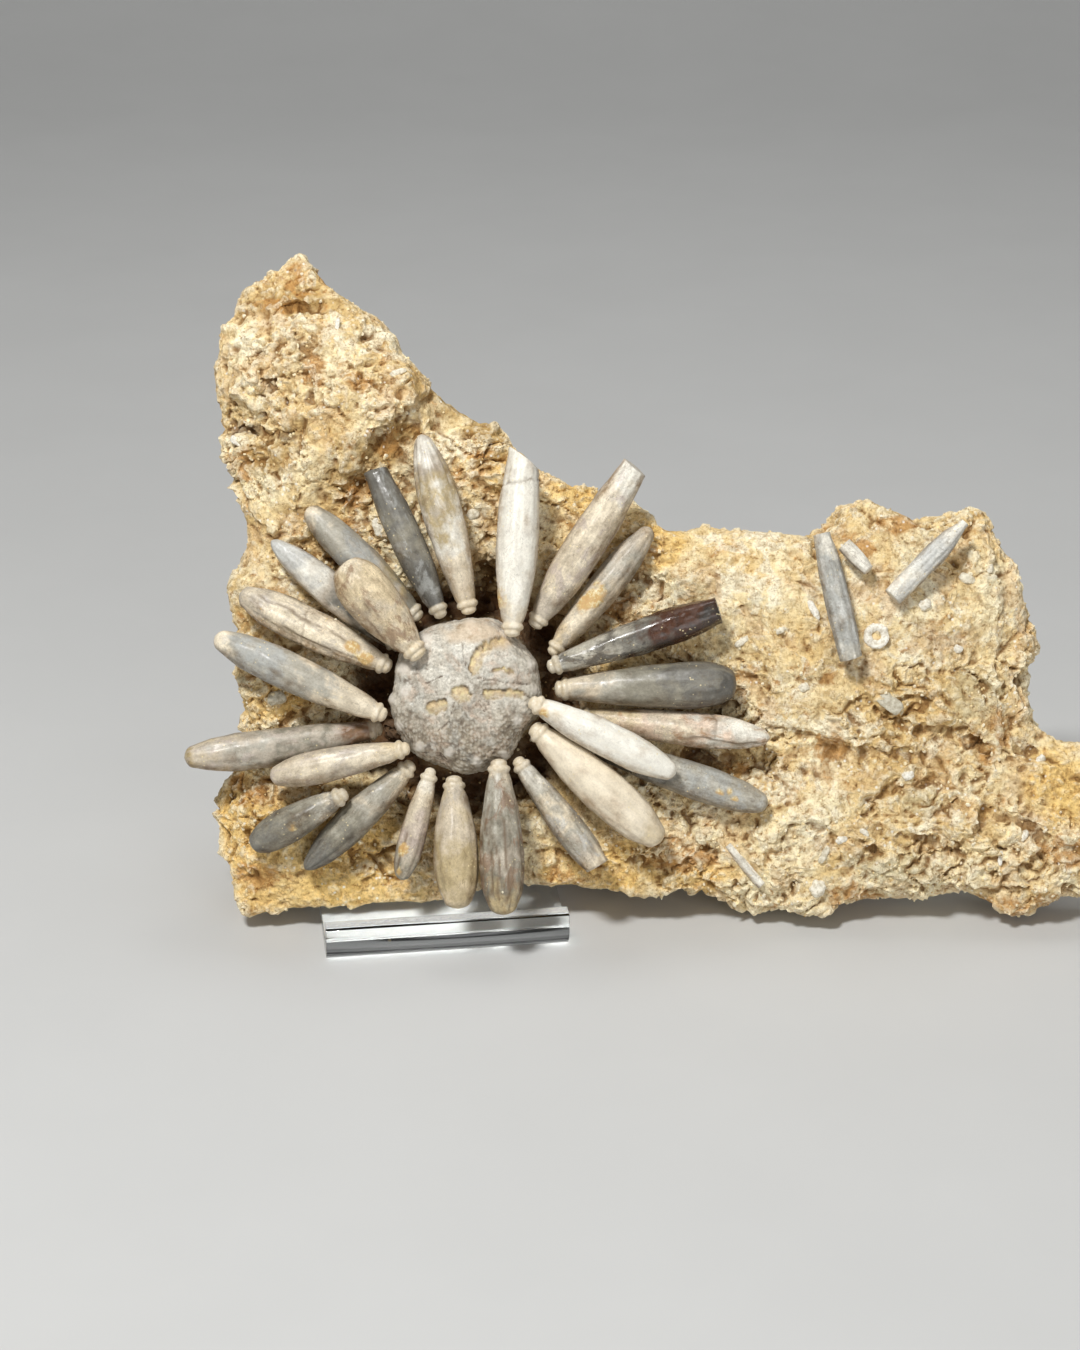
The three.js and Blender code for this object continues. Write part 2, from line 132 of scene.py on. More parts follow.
def chunks(points, size, seed, steep):
    """Tilted flat facets, one for each cell of a broken pattern, with a step where two meet."""
    q = points / size
    base = np.floor(q).astype(np.int64)
    nearest = np.full(len(points), 1e9)
    second = np.full(len(points), 1e9)
    height = np.zeros(len(points))
    for corner in product((-1, 0, 1), repeat=3):
        cell = base + np.array(corner)
        spot = cell + np.stack([hashed(cell, seed + k) for k in range(3)], -1)
        away = q - spot
        gap = np.sum(away**2, axis=1)
        tilt = np.stack([hashed(cell, seed + 11 + k) * 2 - 1 for k in range(3)], -1)
        level = np.sum(away * tilt, axis=1) * steep + (hashed(cell, seed + 29) - 0.5)
        closer = gap < nearest
        second = np.where(closer, nearest, np.minimum(second, gap))
        height = np.where(closer, level, height)
        nearest = np.minimum(nearest, gap)
    edge = np.clip((np.sqrt(second) - np.sqrt(nearest)) / 0.12, 0, 1)
    return height * edge


def granules(points, size, seed):
    """Small round bumps packed at random, from 0 between them to 1 on top."""
    q = points / size
    base = np.floor(q).astype(np.int64)
    nearest = np.full(len(points), 1e9)
    for corner in product((-1, 0, 1), repeat=3):
        cell = base + np.array(corner)
        spot = cell + 0.15 + 0.7 * np.stack([hashed(cell, seed + k) for k in range(3)], -1)
        nearest = np.minimum(nearest, np.sum((q - spot) ** 2, axis=1))
    return np.clip(1 - nearest / 0.30, 0, 1) ** 0.8


def smooth_step(x):
    x = np.clip(x, 0, 1)
    return x * x * (3 - 2 * x)


def bump(x):
    return np.exp(-(x**2))


def running_mean(values, reach):
    """Each value averaged with those up to a reach before and after it."""
    window = 2 * reach + 1
    return np.convolve(np.pad(values, reach, mode="edge"), np.ones(window) / window, mode="valid")


def from_line(points, line):
    """How far points on the face are from a run of straight lines. It is negative on the lines' right."""
    least = np.full(len(points), 1e9)
    side = np.ones(len(points))
    for a, b in zip(line[:-1], line[1:]):
        a, b = np.array(a, float), np.array(b, float)
        run = b - a
        along = np.clip((points[:, :2] - a) @ run / (run @ run), 0, 1)
        offset = points[:, :2] - a - along[:, None] * run
        gap = np.linalg.norm(offset, axis=1)
        closer = gap < least
        side = np.where(closer, np.sign(run[0] * offset[:, 1] - run[1] * offset[:, 0]), side)
        least = np.where(closer, gap, least)
    return least * side


def patches(points, table, seed):
    """From 0 to 1, inside ragged ovals of the face: each is (u, v, reach along u, reach along v)."""
    ragged = 0.45 * clouds(points, 6, 3, seed)
    total = np.zeros(len(points))
    for u, v, wide, high in table:
        away = np.hypot((points[:, 0] - u) / wide, (points[:, 1] - v) / high)
        total = np.maximum(total, 1 - smooth_step((away + ragged - 0.55) / 0.7))
    return total


# ---------------------------------------------------------------- meshes


def new_object(name, mesh):
    made = bpy.data.objects.new(name, mesh)
    bpy.context.scene.collection.objects.link(made)
    return made


def new_piece(name, mesh, replaced=()):
    """A finished piece, in a slot of the record, that stands in for some of the frame's solids."""
    piece = new_object(name, mesh)
    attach(piece, "root")
    if replaced:
        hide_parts(*replaced)


def welded(name, mesh):
    """An object whose loose triangles are joined up."""
    made = new_object(name, mesh)
    made.modifiers.new("weld", "WELD").merge_threshold = 1e-5
    return made


def bake_modifiers(made):
    """The object's mesh with its modifiers applied. The object itself is removed."""
    bpy.context.view_layer.update()
    graph = bpy.context.evaluated_depsgraph_get()
    mesh = bpy.data.meshes.new_from_object(
        made.evaluated_get(graph), preserve_all_data_layers=True, depsgraph=graph
    )
    bpy.data.objects.remove(made)
    return mesh


def set_smooth(mesh, smooth):
    mesh.polygons.foreach_set("use_smooth", [smooth] * len(mesh.polygons))


def make_mesh(name, points, faces):
    mesh = bpy.data.meshes.new(name)
    mesh.from_pydata(points.tolist(), [], faces)
    set_smooth(mesh, True)
    mesh.update()
    return mesh


def joined(name, meshes):
    """Several meshes as one, with their attributes."""
    together = bmesh.new()
    for mesh in meshes:
        together.from_mesh(mesh)
    mesh = bpy.data.meshes.new(name)
    together.to_mesh(mesh)
    together.free()
    return mesh


def mark(mesh, name, values):
    """Stores a number, or three, on each point of a mesh."""
    values = np.asarray(values, dtype=np.float32)
    if values.ndim == 1:
        mesh.attributes.new(name, "FLOAT", "POINT").data.foreach_set("value", values)
    else:
        mesh.attributes.new(name, "FLOAT_VECTOR", "POINT").data.foreach_set("vector", values.ravel())


def mesh_normals(mesh):
    normals = np.empty(len(mesh.vertices) * 3)
    mesh.vertex_normals.foreach_get("vector", normals)
    return normals.reshape(-1, 3)


def mesh_edges(mesh):
    edges = np.empty(len(mesh.edges) * 2, dtype=np.int32)
    mesh.edges.foreach_get("vertices", edges)
    return edges.reshape(-1, 2)


def set_points(mesh, points):
    mesh.vertices.foreach_set("co", points.ravel())
    mesh.update()


def relaxed(values, edges, rounds):
    """Values averaged with their neighbours along the edges, over and over."""
    count = np.bincount(edges.ravel(), minlength=len(values))[:, None].clip(1)
    for _ in range(rounds):
        total = np.zeros_like(values)
        for k in range(values.shape[1]):
            total[:, k] = np.bincount(edges[:, 0], values[edges[:, 1], k], len(values))
            total[:, k] += np.bincount(edges[:, 1], values[edges[:, 0], k], len(values))
        values = total / count
    return values


def sunken(points, normals, edges, rounds):
    """How far each point lies below its surroundings, in millimetres."""
    return np.sum((relaxed(points, edges, rounds) - points) * normals, axis=1)


def round_grid(rings, columns):
    """Each ring's value, and the angle round it, at every point of a tube."""
    return np.meshgrid(rings, np.linspace(0, 2 * math.pi, columns, endpoint=False), indexing="ij")


def round_points(radius, angle, level):
    return np.stack([radius * np.cos(angle), radius * np.sin(angle), level], -1).reshape(-1, 3)


def grid_faces(rows, columns):
    """The faces of a tube whose rings run from one pole to the other. The poles are the last two points."""
    faces = []
    for i in range(rows - 1):
        for j in range(columns):
            a, b = i * columns + j, i * columns + (j + 1) % columns
            faces.append((a, b, b + columns, a + columns))
    first, last = rows * columns, rows * columns + 1
    top = (rows - 1) * columns
    for j in range(columns):
        k = (j + 1) % columns
        faces.append((first, k, j))
        faces.append((last, top + j, top + k))
    return faces


# ---------------------------------------------------------------- finishes


class Finish:
    """A material that is put together from a few kinds of node."""

    def __init__(self, name, roughness=0.8, **shader):
        self.material = bpy.data.materials.new(name)
        self.material.use_nodes = True
        self.tree = self.material.node_tree
        self.shader = self.tree.nodes["Principled BSDF"]
        self.shader.inputs["Roughness"].default_value = roughness
        for socket, value in shader.items():
            self.shader.inputs[socket.replace("_", " ")].default_value = value
        self.place = self.tree.nodes.new("ShaderNodeTexCoord").outputs["Object"]
        self.hue = None  # the colours so far, one laid over another

    def put(self, socket, value):
        if isinstance(value, bpy.types.NodeSocket):
            self.tree.links.new(value, socket)
        elif isinstance(value, tuple) and len(value) == 3 and socket.type == "RGBA":
            socket.default_value = (*value, 1)
        else:
            socket.default_value = value

    def attribute(self, name, kind="Fac"):
        node = self.tree.nodes.new("ShaderNodeAttribute")
        node.attribute_name = name
        return node.outputs[kind]

    def stretched(self, vector, scale, shift=(0, 0, 0)):
        node = self.tree.nodes.new("ShaderNodeMapping")
        node.inputs["Scale"].default_value = scale
        node.inputs["Location"].default_value = shift
        self.put(node.inputs["Vector"], vector)
        return node.outputs["Vector"]

    def noise(self, size, detail=3.0, roughness=0.55, vector=None, distortion=0.0):
        """Noise with features of a size in millimetres."""
        node = self.tree.nodes.new("ShaderNodeTexNoise")
        self.put(node.inputs["Vector"], vector or self.place)
        node.inputs["Scale"].default_value = 1 / (size * MM)
        node.inputs["Detail"].default_value = detail
        node.inputs["Roughness"].default_value = roughness
        node.inputs["Distortion"].default_value = distortion
        return node.outputs["Fac"]

    def cells(self, size, vector=None):
        node = self.tree.nodes.new("ShaderNodeTexVoronoi")
        self.put(node.inputs["Vector"], vector or self.place)
        node.inputs["Scale"].default_value = 1 / (size * MM)
        return node.outputs["Distance"]

    def ramp(self, value, *stops):
        """A ramp of (position, colour or number) stops."""
        node = self.tree.nodes.new("ShaderNodeValToRGB")
        elements = node.color_ramp.elements
        while len(elements) < len(stops):
            elements.new(1.0)
        for element, (position, colour) in zip(elements, stops):
            element.position = position
            element.color = (*colour, 1) if isinstance(colour, tuple) else (colour, colour, colour, 1)
        self.put(node.inputs["Fac"], value)
        return node.outputs["Color"]

    def veins(self, noise, thin):
        """1 along the thin winding lines where a noise is at its middle value, and 0 away from them."""
        return self.ramp(noise, (0.5 - thin, 0.0), (0.5, 1.0), (0.5 + thin, 0.0))

    def mix(self, share, first, second, blend="MIX"):
        node = self.tree.nodes.new("ShaderNodeMix")
        node.data_type = "RGBA"
        node.blend_type = blend
        share_socket, first_socket, second_socket = (s for s in node.inputs if s.enabled)
        self.put(share_socket, share)
        self.put(first_socket, first)
        self.put(second_socket, second)
        return next(s for s in node.outputs if s.enabled)

    def sum(self, first, second, operation="ADD"):
        node = self.tree.nodes.new("ShaderNodeMath")
        node.operation = operation
        self.put(node.inputs[0], first)
        self.put(node.inputs[1], second)
        return node.outputs[0]

    def product(self, first, second):
        return self.sum(first, second, "MULTIPLY")

    def lay(self, share, hue, blend="MIX"):
        """Lays a colour over the finish so far."""
        self.hue = self.mix(share, self.hue, hue, blend)

    def lay_marked(self, name, share, hue):
        """Lays a colour where an attribute of the piece calls for it."""
        self.lay(self.product(self.attribute(name), share), hue)

    def shade(self, share, noise, *stops):
        """Darkens and lightens the finish so far by a noise."""
        self.lay(share, self.ramp(noise, *stops), "MULTIPLY")

    def coloured(self):
        self.put(self.shader.inputs["Base Color"], self.hue)

    def rough(self, value):
        self.put(self.shader.inputs["Roughness"], value)

    def relief(self, *layers):
        """Stacks bumps, each a (height, strength, depth in millimetres)."""
        normal = None
        for height, strength, depth in layers:
            node = self.tree.nodes.new("ShaderNodeBump")
            node.inputs["Strength"].default_value = strength
            node.inputs["Distance"].default_value = depth * MM
            self.put(node.inputs["Height"], height)
            if normal:
                self.put(node.inputs["Normal"], normal)
            normal = node.outputs["Normal"]
        self.put(self.shader.inputs["Normal"], normal)


IVORY = (0.90, 0.87, 0.78)
CHALK = (0.81, 0.78, 0.70)
MILK = (0.89, 0.79, 0.62)
CREAM = (0.77, 0.68, 0.53)
SAND = (0.70, 0.58, 0.39)
BEIGE = (0.62, 0.535, 0.41)
TAN = (0.50, 0.40, 0.23)
TAUPE = (0.55, 0.49, 0.405)
MAUVE = (0.54, 0.455, 0.40)
PINK = (0.76, 0.60, 0.47)
ASH = (0.46, 0.435, 0.37)
OLIVE_GREY = (0.29, 0.27, 0.215)
PALE_BLUE = (0.58, 0.58, 0.555)
BLUE_GREY = (0.42, 0.425, 0.405)
SLATE = (0.19, 0.182, 0.16)
CHARCOAL = (0.115, 0.11, 0.098)
INK = (0.050, 0.042, 0.036)
OXBLOOD = (0.085, 0.036, 0.020)
BROWN = (0.27, 0.155, 0.085)
RUST = (0.40, 0.20, 0.075)
OCHRE = (0.62, 0.40, 0.13)
UMBER = (0.14, 0.085, 0.040)
YELLOW_CLAY = (0.82, 0.69, 0.40)

# ---------------------------------------------------------------- spines

SPINE_COLUMNS = 60
ROWS_PER_MM = 2.2
BASE_ROWS = 18
RING_AT = 2.6  # the milled ring's middle, from the spine's base
RING_END = 3.3
TEETH = 26
CLOSING_RINGS = 6  # the rings of points that close a broken tip
OPENING_RINGS = 5  # and those that open out from a loose fragment's other end

# Each spine's colours from its base to its tip, what stains it, how rough it is, and its shape:
#   calm    how little its streaks and clouds show, from 0 to 1
#   ribs    how many run along it, how deep as a share of its radius, and from what share of its length
#   broken  how far its broken end slopes, in millimetres, and towards where round its axis, in degrees
#   clefts  dark grooves along it: where round its axis, in degrees, and from and to what shares of its length
#   breaks  healed cracks across it, as shares of its length
#   spots   clay stuck to it: the share of its length, where round its axis, and the reach in millimetres
# Round its axis, 0 is the side that faces out of the block and 90 is to the right as seen from its base.
SPINES = {
    "spine_01": dict(hues=(SAND, BEIGE, CREAM, CHALK, TAN, TAUPE, CHALK), stain=CHALK, rough=0.44, calm=0.4,
                     ribs=(13, 0.060, 0.50)),
    "spine_02": dict(hues=(CREAM, IVORY, IVORY, IVORY, IVORY, IVORY), stain=CHALK, rough=0.42, calm=0.55,
                     broken=(4.6, 90), breaks=(0.82,), clefts=((-35, 0.80, 0.90), (10, 0.78, 0.86)),
                     spots=((0.19, -60, 1.6),)),
    "spine_03": dict(hues=(TAUPE, TAUPE, CREAM, BEIGE, CREAM, CREAM, CHALK), stain=MAUVE, rough=0.42,
                     broken=(1.0, 60)),
    "spine_04": dict(hues=(SAND, CREAM, CREAM, BEIGE, ASH, TAUPE, BEIGE), stain=TAUPE, rough=0.52,
                     ribs=(12, 0.025, 0.3), spots=((0.43, -5, 1.9), (0.52, -30, 1.0))),
    # Near its base its grey and ash are a painted highlight: that end is near-black glossy stone.
    "spine_05": dict(hues=(BLUE_GREY, ASH, ASH, SLATE, OXBLOOD, OXBLOOD, INK), stain=INK, rough=0.20,
                     ribs=(5, 0.045, 0.25), broken=(0.5, 20)),
    "spine_06": dict(hues=(CREAM, BEIGE, ASH, OLIVE_GREY, OLIVE_GREY, SLATE, SLATE, CHARCOAL),
                     stain=OLIVE_GREY, rough=0.36, calm=0.3, ribs=(14, 0.022, 0.45)),
    "spine_07": dict(hues=(TAN, SAND, PINK, CREAM, PINK, CHALK, IVORY), stain=RUST, rough=0.42,
                     ribs=(7, 0.065, 0.62), breaks=(0.70,), clefts=((35, 0.55, 0.98),)),
    "spine_08": dict(hues=(CREAM, IVORY, IVORY, IVORY, IVORY, IVORY), stain=MILK, rough=0.40, calm=0.8,
                     spots=((0.11, 20, 1.0),)),
    "spine_09": dict(hues=(UMBER, CHARCOAL, SLATE, ASH, BLUE_GREY, ASH, ASH), stain=BLUE_GREY, rough=0.40,
                     ribs=(11, 0.022, 0.5), spots=((0.74, 8, 0.6), (0.79, -6, 0.5), (0.83, 12, 0.4))),
    "spine_10": dict(hues=(CREAM, MILK, MILK, MILK, MILK, MILK, SAND), stain=CREAM, rough=0.42, calm=0.75),
    "spine_11": dict(hues=(CREAM, CHALK, ASH, CREAM, ASH, TAUPE, CREAM), stain=PALE_BLUE, rough=0.50,
                     ribs=(10, 0.030, 0.2), broken=(0.8, 40)),
    "spine_12": dict(hues=(BEIGE, ASH, ASH, OLIVE_GREY, TAUPE, OLIVE_GREY, TAN), stain=BROWN, rough=0.48,
                     ribs=(11, 0.060, 0.08), clefts=((-12, 0.35, 0.95), (38, 0.25, 0.9), (14, 0.5, 0.95))),
    "spine_13": dict(hues=(CREAM, TAUPE, BEIGE, BEIGE, TAN, TAN, SAND), stain=TAN, rough=0.48, calm=0.3,
                     ribs=(14, 0.024, 0.2)),
    "spine_14": dict(hues=(IVORY, CREAM, CREAM, MAUVE, TAUPE, OLIVE_GREY), stain=BEIGE, rough=0.48,
                     ribs=(8, 0.030, 0.3), clefts=((34, 0.55, 0.98),),
                     spots=((0.74, 28, 0.8), (0.92, 24, 0.6))),
    "spine_15": dict(hues=(CREAM, BEIGE, ASH, OLIVE_GREY, SLATE, SLATE), stain=OLIVE_GREY, rough=0.44,
                     ribs=(9, 0.080, 0.45)),
    "spine_16": dict(hues=(CREAM, ASH, OLIVE_GREY, OLIVE_GREY, OLIVE_GREY, SLATE), stain=SLATE, rough=0.42,
                     ribs=(12, 0.020, 0.3), spots=((0.53, -5, 1.3),)),
    "spine_17": dict(hues=(SAND, CREAM, CREAM, TAUPE, CREAM, BEIGE, BEIGE), stain=MAUVE, rough=0.42, calm=0.3,
                     ribs=(12, 0.018, 0.3)),
    "spine_18": dict(hues=(UMBER, BROWN, TAUPE, OLIVE_GREY, TAUPE, ASH, TAUPE, BEIGE, TAN),
                     stain=MAUVE, rough=0.38, calm=0.3, ribs=(13, 0.018, 0.5)),
    "spine_19": dict(hues=(MILK, CREAM, CREAM, ASH, ASH, BLUE_GREY, ASH, MILK), stain=BLUE_GREY, rough=0.40,
                     calm=0.4, ribs=(12, 0.012, 0.4)),
    "spine_20": dict(hues=(BEIGE, CREAM, MILK, MILK, CREAM, CREAM, TAUPE), stain=TAUPE, rough=0.50,
                     ribs=(8, 0.040, 0.1), clefts=((22, 0.20, 0.92), (-30, 0.1, 0.7)), breaks=(0.55,),
                     spots=((0.16, -20, 1.2), (0.24, 15, 0.9))),
    "spine_21": dict(hues=(UMBER, UMBER, SLATE, TAUPE, CHALK, PALE_BLUE, PALE_BLUE), stain=CHALK, rough=0.38,
                     calm=0.4, ribs=(9, 0.022, 0.4)),
    "spine_22": dict(hues=(SAND, CREAM, SAND, BEIGE, SAND, SAND, CREAM), stain=BROWN, rough=0.56,
                     ribs=(9, 0.016, 0.3), clefts=((-48, 0.30, 0.62), (-20, 0.42, 0.66))),
    "spine_23": dict(hues=(OLIVE_GREY, OLIVE_GREY, TAN, TAUPE, BLUE_GREY, ASH, ASH, CREAM),
                     stain=OLIVE_GREY, rough=0.44, calm=0.3, ribs=(11, 0.016, 0.4)),
    "spine_24": dict(hues=(CHARCOAL, CHARCOAL, SLATE, OLIVE_GREY, SLATE, SLATE, CHARCOAL),
                     stain=BLUE_GREY, rough=0.34, calm=0.3, broken=(0.9, 120)),
    "loose_spine_long": dict(hues=(CHALK, BLUE_GREY, PALE_BLUE, BLUE_GREY, PALE_BLUE, BLUE_GREY, CHALK),
                             stain=ASH, rough=0.66, ribs=(11, 0.035, 0.0), broken=(0.9, 200)),
    "loose_spine_short": dict(hues=(CHALK, IVORY, CHALK), stain=CHALK, rough=0.7, ribs=(9, 0.030, 0.0)),
    "loose_spine_pale": dict(hues=(IVORY, CHALK, PALE_BLUE, CHALK, IVORY), stain=PALE_BLUE, rough=0.7,
                             ribs=(10, 0.040, 0.0)),
    "loose_sliver": dict(hues=(IVORY, CHALK, IVORY), stain=CHALK, rough=0.7, ribs=(8, 0.040, 0.0)),
}


def spine_stations(name):
    """A spine's axis and thickness, read from its solid: distances along it, middles and radii."""
    corners = np.unique(np.round(to_face(node_points(name)), 3), axis=0)
    spread = corners - corners.mean(axis=0)
    along = np.linalg.svd(spread, full_matrices=False)[2][0]
    # The nine points at either end are its last ring and its pole.
    reach = spread @ along
    low = corners[np.argsort(reach)[:9]].mean(axis=0)
    high = corners[np.argsort(reach)[-9:]].mean(axis=0)
    if np.linalg.norm(high) < np.linalg.norm(low) and not name.startswith("loose"):
        low, high = high, low
    along = (high - low) / np.linalg.norm(high - low)
    reach = (corners - low) @ along
    order = np.argsort(reach)
    rings = np.split(order, np.where(np.diff(reach[order]) > 0.12)[0] + 1)
    stations = []
    for ring in rings:
        middle = corners[ring].mean(axis=0)
        spoke = corners[ring] - middle
        radius = np.linalg.norm(spoke - np.outer(spoke @ along, along), axis=1)
        stations.append((reach[ring].mean(), middle, radius.max()))
    distances, middles, radii = (np.array(column) for column in zip(*stations))
    return distances - distances[0], middles, radii


def spine_frame(middles):
    """The directions across a spine: the one that faces outwards, and the one sideways."""
    along = middles[-1] - middles[0]
    along /= np.linalg.norm(along)
    front = np.array([0, 0, 1.0]) - along[2] * along
    front /= np.linalg.norm(front)
    return front, np.cross(along, front)


STATIONS = {name: spine_stations(name) for name in SPINES}


def spine_outline(name, rows):
    """Distances along a spine and its smoothed radius there. Both crowd together towards its ends."""
    distances, _, radii = STATIONS[name]
    length = distances[-1]
    even = np.linspace(0, 1, rows - BASE_ROWS)
    y = RING_END + (length - RING_END) * (0.6 * even + 0.4 * (0.5 - 0.5 * np.cos(np.pi * even)))
    y = np.concatenate([np.linspace(0, RING_END, BASE_ROWS, endpoint=False), y])
    fine = np.linspace(0, length, 240)
    smoothed = running_mean(np.interp(fine, distances, radii**2), 26)
    squared, smoothed = np.interp(y, distances, radii**2), np.interp(y, fine, smoothed)
    shaft = np.ones(rows) if name.startswith("loose") else smooth_step((y - RING_END - 0.3) / 2.5)
    ending = smooth_step((length - y) / 2.0)
    radius = np.sqrt(np.maximum(squared + (smoothed - squared) * shaft * ending, 0.04))
    if name == "loose_spine_pale":
        # Its tip is worn blunt.
        worn = radius.max() * (0.80 - 0.40 * smooth_step((y - 0.55 * length) / (0.45 * length)))
        radius = np.maximum(radius, worn * smooth_step((y - 0.5 * length) / (0.2 * length)))
    return y, radius


def turned_from(T, direction):
    """The angle round the axis from a direction, up to half a turn either way."""
    return np.mod(T - direction + math.pi, 2 * math.pi) - math.pi


def spine_girth(Y, T, R, share, body, seed, ribs, loose):
    """A spine's radius with its ribs, its flats and, at its base, the neck and the milled ring."""
    count, depth, start = ribs
    wander = 0.22 * np.sin(3 * share + seed)
    swelling = smooth_step((share - start) / 0.35 + 0.15)
    R *= 1 + body * depth * swelling * (np.abs(np.sin(0.5 * count * T + wander)) * 2 - 1.3)
    # Shafts are a little flat here and there.
    sides = 1 + np.cos((4 + seed % 3) * T + 2.1 * seed + 0.8 * share)
    R *= 1 - body * 0.020 * sides * np.sin(math.pi * share)
    if not loose:
        R *= 0.30 + 0.70 * np.sqrt(np.clip(Y / 0.7, 0, 1))
        R += bump((Y - RING_AT) / 0.45) * (0.10 + 0.06 * np.cos(TEETH * T))
        R -= bump((Y - RING_AT + 0.85) / 0.5) * 0.12 + bump((Y - RING_END - 0.2) / 0.4) * 0.14
    return R


def spine_grooves(Y, T, R, share, lumps, length, seed, clefts, breaks):
    """From 0 to 1 in the clefts that run along a spine and the healed cracks across it."""
    groove = np.zeros_like(Y)
    for degrees, begin, end in clefts:
        swing = math.radians(degrees) + 0.16 * lumps + 0.10 * np.sin(7 * share + seed)
        away = turned_from(T, swing) * R
        reach = smooth_step((share - begin) / 0.06) * smooth_step((end - share) / 0.06)
        groove = np.maximum(groove, reach * bump(away / 0.42))
    for at in breaks:
        away = Y - at * length - 0.9 * lumps - 0.25 * R * np.cos(T - seed)
        groove = np.maximum(groove, 0.8 * bump(away / 0.30) * smooth_step(0.8 + lumps))
    return groove


def spine_clay(Y, T, R, lumps, pits, length, spots):
    """From 0 to 1 where clay is stuck to a spine."""
    clay = np.zeros_like(Y)
    for at, degrees, reach in spots:
        away = turned_from(T, math.radians(degrees)) * R
        edge = np.hypot(0.8 * (Y - at * length), away) / reach + 1.1 * lumps + 0.5 * pits
        clay = np.maximum(clay, smooth_step(1.8 - edge))
    return clay


def break_tip(Y, T, R, lumps, pits, length, tip, slope, degrees):
    """Slopes a spine's broken tip, and closes it with its last rings. Gives what lies on the break."""
    direction = math.radians(degrees)

    def end_level(R, T):
        return length - slope * (0.5 + 0.5 * R * np.cos(T - direction) / tip)

    top = end_level(R, T)
    cut = smooth_step((Y - top) / 0.4 + 0.5)
    Y = np.minimum(Y, top + 0.12 * pits)
    shrink = np.linspace(1, 0.12, CLOSING_RINGS)[:, None]
    R[-CLOSING_RINGS:] = R[-CLOSING_RINGS - 1] * shrink
    flat = end_level(R[-CLOSING_RINGS:], T[-CLOSING_RINGS:])
    Y[-CLOSING_RINGS:] = flat + 0.25 * (1 - shrink) * lumps[-CLOSING_RINGS - 1]
    Y[-CLOSING_RINGS] -= 0.12
    cut[-CLOSING_RINGS + 1 :] = 1
    return Y, R, cut


def spine_mesh(name, seed, ribs=(14, 0.012, 0.3), broken=(0.5, 0), clefts=(), breaks=(), spots=(), **_):
    distances, middles, radii = STATIONS[name]
    length, tip = distances[-1], radii[-1]
    loose = name.startswith("loose")
    blunt = tip > 0.5
    front, side = spine_frame(middles)
    rows = BASE_ROWS + int(np.clip(length * ROWS_PER_MM, 34, 112))
    y, radius = spine_outline(name, rows)
    Y, T = round_grid(y, SPINE_COLUMNS)
    R = np.repeat(radius[:, None], SPINE_COLUMNS, axis=1)
    body = np.ones_like(Y) if loose else smooth_step((Y - RING_END) / 1.5)
    share = Y / length
    R = spine_girth(Y, T, R, share, body, seed, ribs, loose)
    local = round_points(R, T, Y)
    lumps = clouds(local * (1, 1, 0.5) + 50 * seed, 3.6, 3, seed).reshape(Y.shape)
    pits = clouds(local + 90 * seed, 0.9, 2, seed + 5).reshape(Y.shape)
    R += body * (0.20 * lumps - 0.22 * np.maximum(pits - 0.35, 0) + 0.025 * pits)
    groove = spine_grooves(Y, T, R, share, lumps, length, seed, clefts, breaks)
    R -= 0.30 * groove * body
    clay = spine_clay(Y, T, R, lumps, pits, length, spots)
    R += clay * (0.28 + 0.25 * pits)
    cut = np.zeros_like(Y)
    if blunt:
        Y, R, cut = break_tip(Y, T, R, lumps, pits, length, tip, *broken)
    if loose:
        # A loose fragment is broken at its other end too, where its first rings open out.
        grow = np.linspace(0.12, 1, OPENING_RINGS)[:, None]
        R[:OPENING_RINGS] = R[OPENING_RINGS] * grow
        Y[:OPENING_RINGS] = 0.3 + 0.25 * lumps[OPENING_RINGS] * (1 - grow)
        cut[: OPENING_RINGS - 1] = 1
    centre = np.stack([np.interp(Y.ravel(), distances, middles[:, k]) for k in range(3)], -1)
    points = centre + np.outer((R * np.cos(T)).ravel(), front) + np.outer((R * np.sin(T)).ravel(), side)
    poles = np.array([points[:SPINE_COLUMNS].mean(axis=0), points[-SPINE_COLUMNS:].mean(axis=0)])
    mesh = make_mesh(name, from_face(np.vstack([points, poles])), grid_faces(rows, SPINE_COLUMNS))
    local = round_points(R, T, Y)
    collar = np.zeros_like(Y) if loose else 1 - smooth_step((Y - RING_END) / 0.5)
    # How much each point lies on a flank or on the side that faces down; the finish darkens these with brown
    # dust and with painted shade.
    falling = -(front[1] * np.cos(T) + side[1] * np.sin(T))
    under = smooth_step(0.95 - 1.0 * np.cos(T) + 0.45 * falling + 0.7 * lumps)
    strew = body * smooth_step(lumps - 0.1) * (1 - cut)
    for label, values, at_poles in (
        ("along", share, [0, 1]),
        ("collar", collar, [1 - loose, 0]),
        ("cut", cut, [loose, blunt]),
        ("groove", groove, [0, 0]),
        ("clay", clay, [0, 0]),
        ("under", under, [0.5, 0.5]),
        ("strew", strew, [0, 0]),
    ):
        mark(mesh, label, np.append(values.ravel(), at_poles))
    mark(mesh, "grain", np.vstack([local, [0, 0, 0], [0, 0, length]]) * MM)
    return mesh


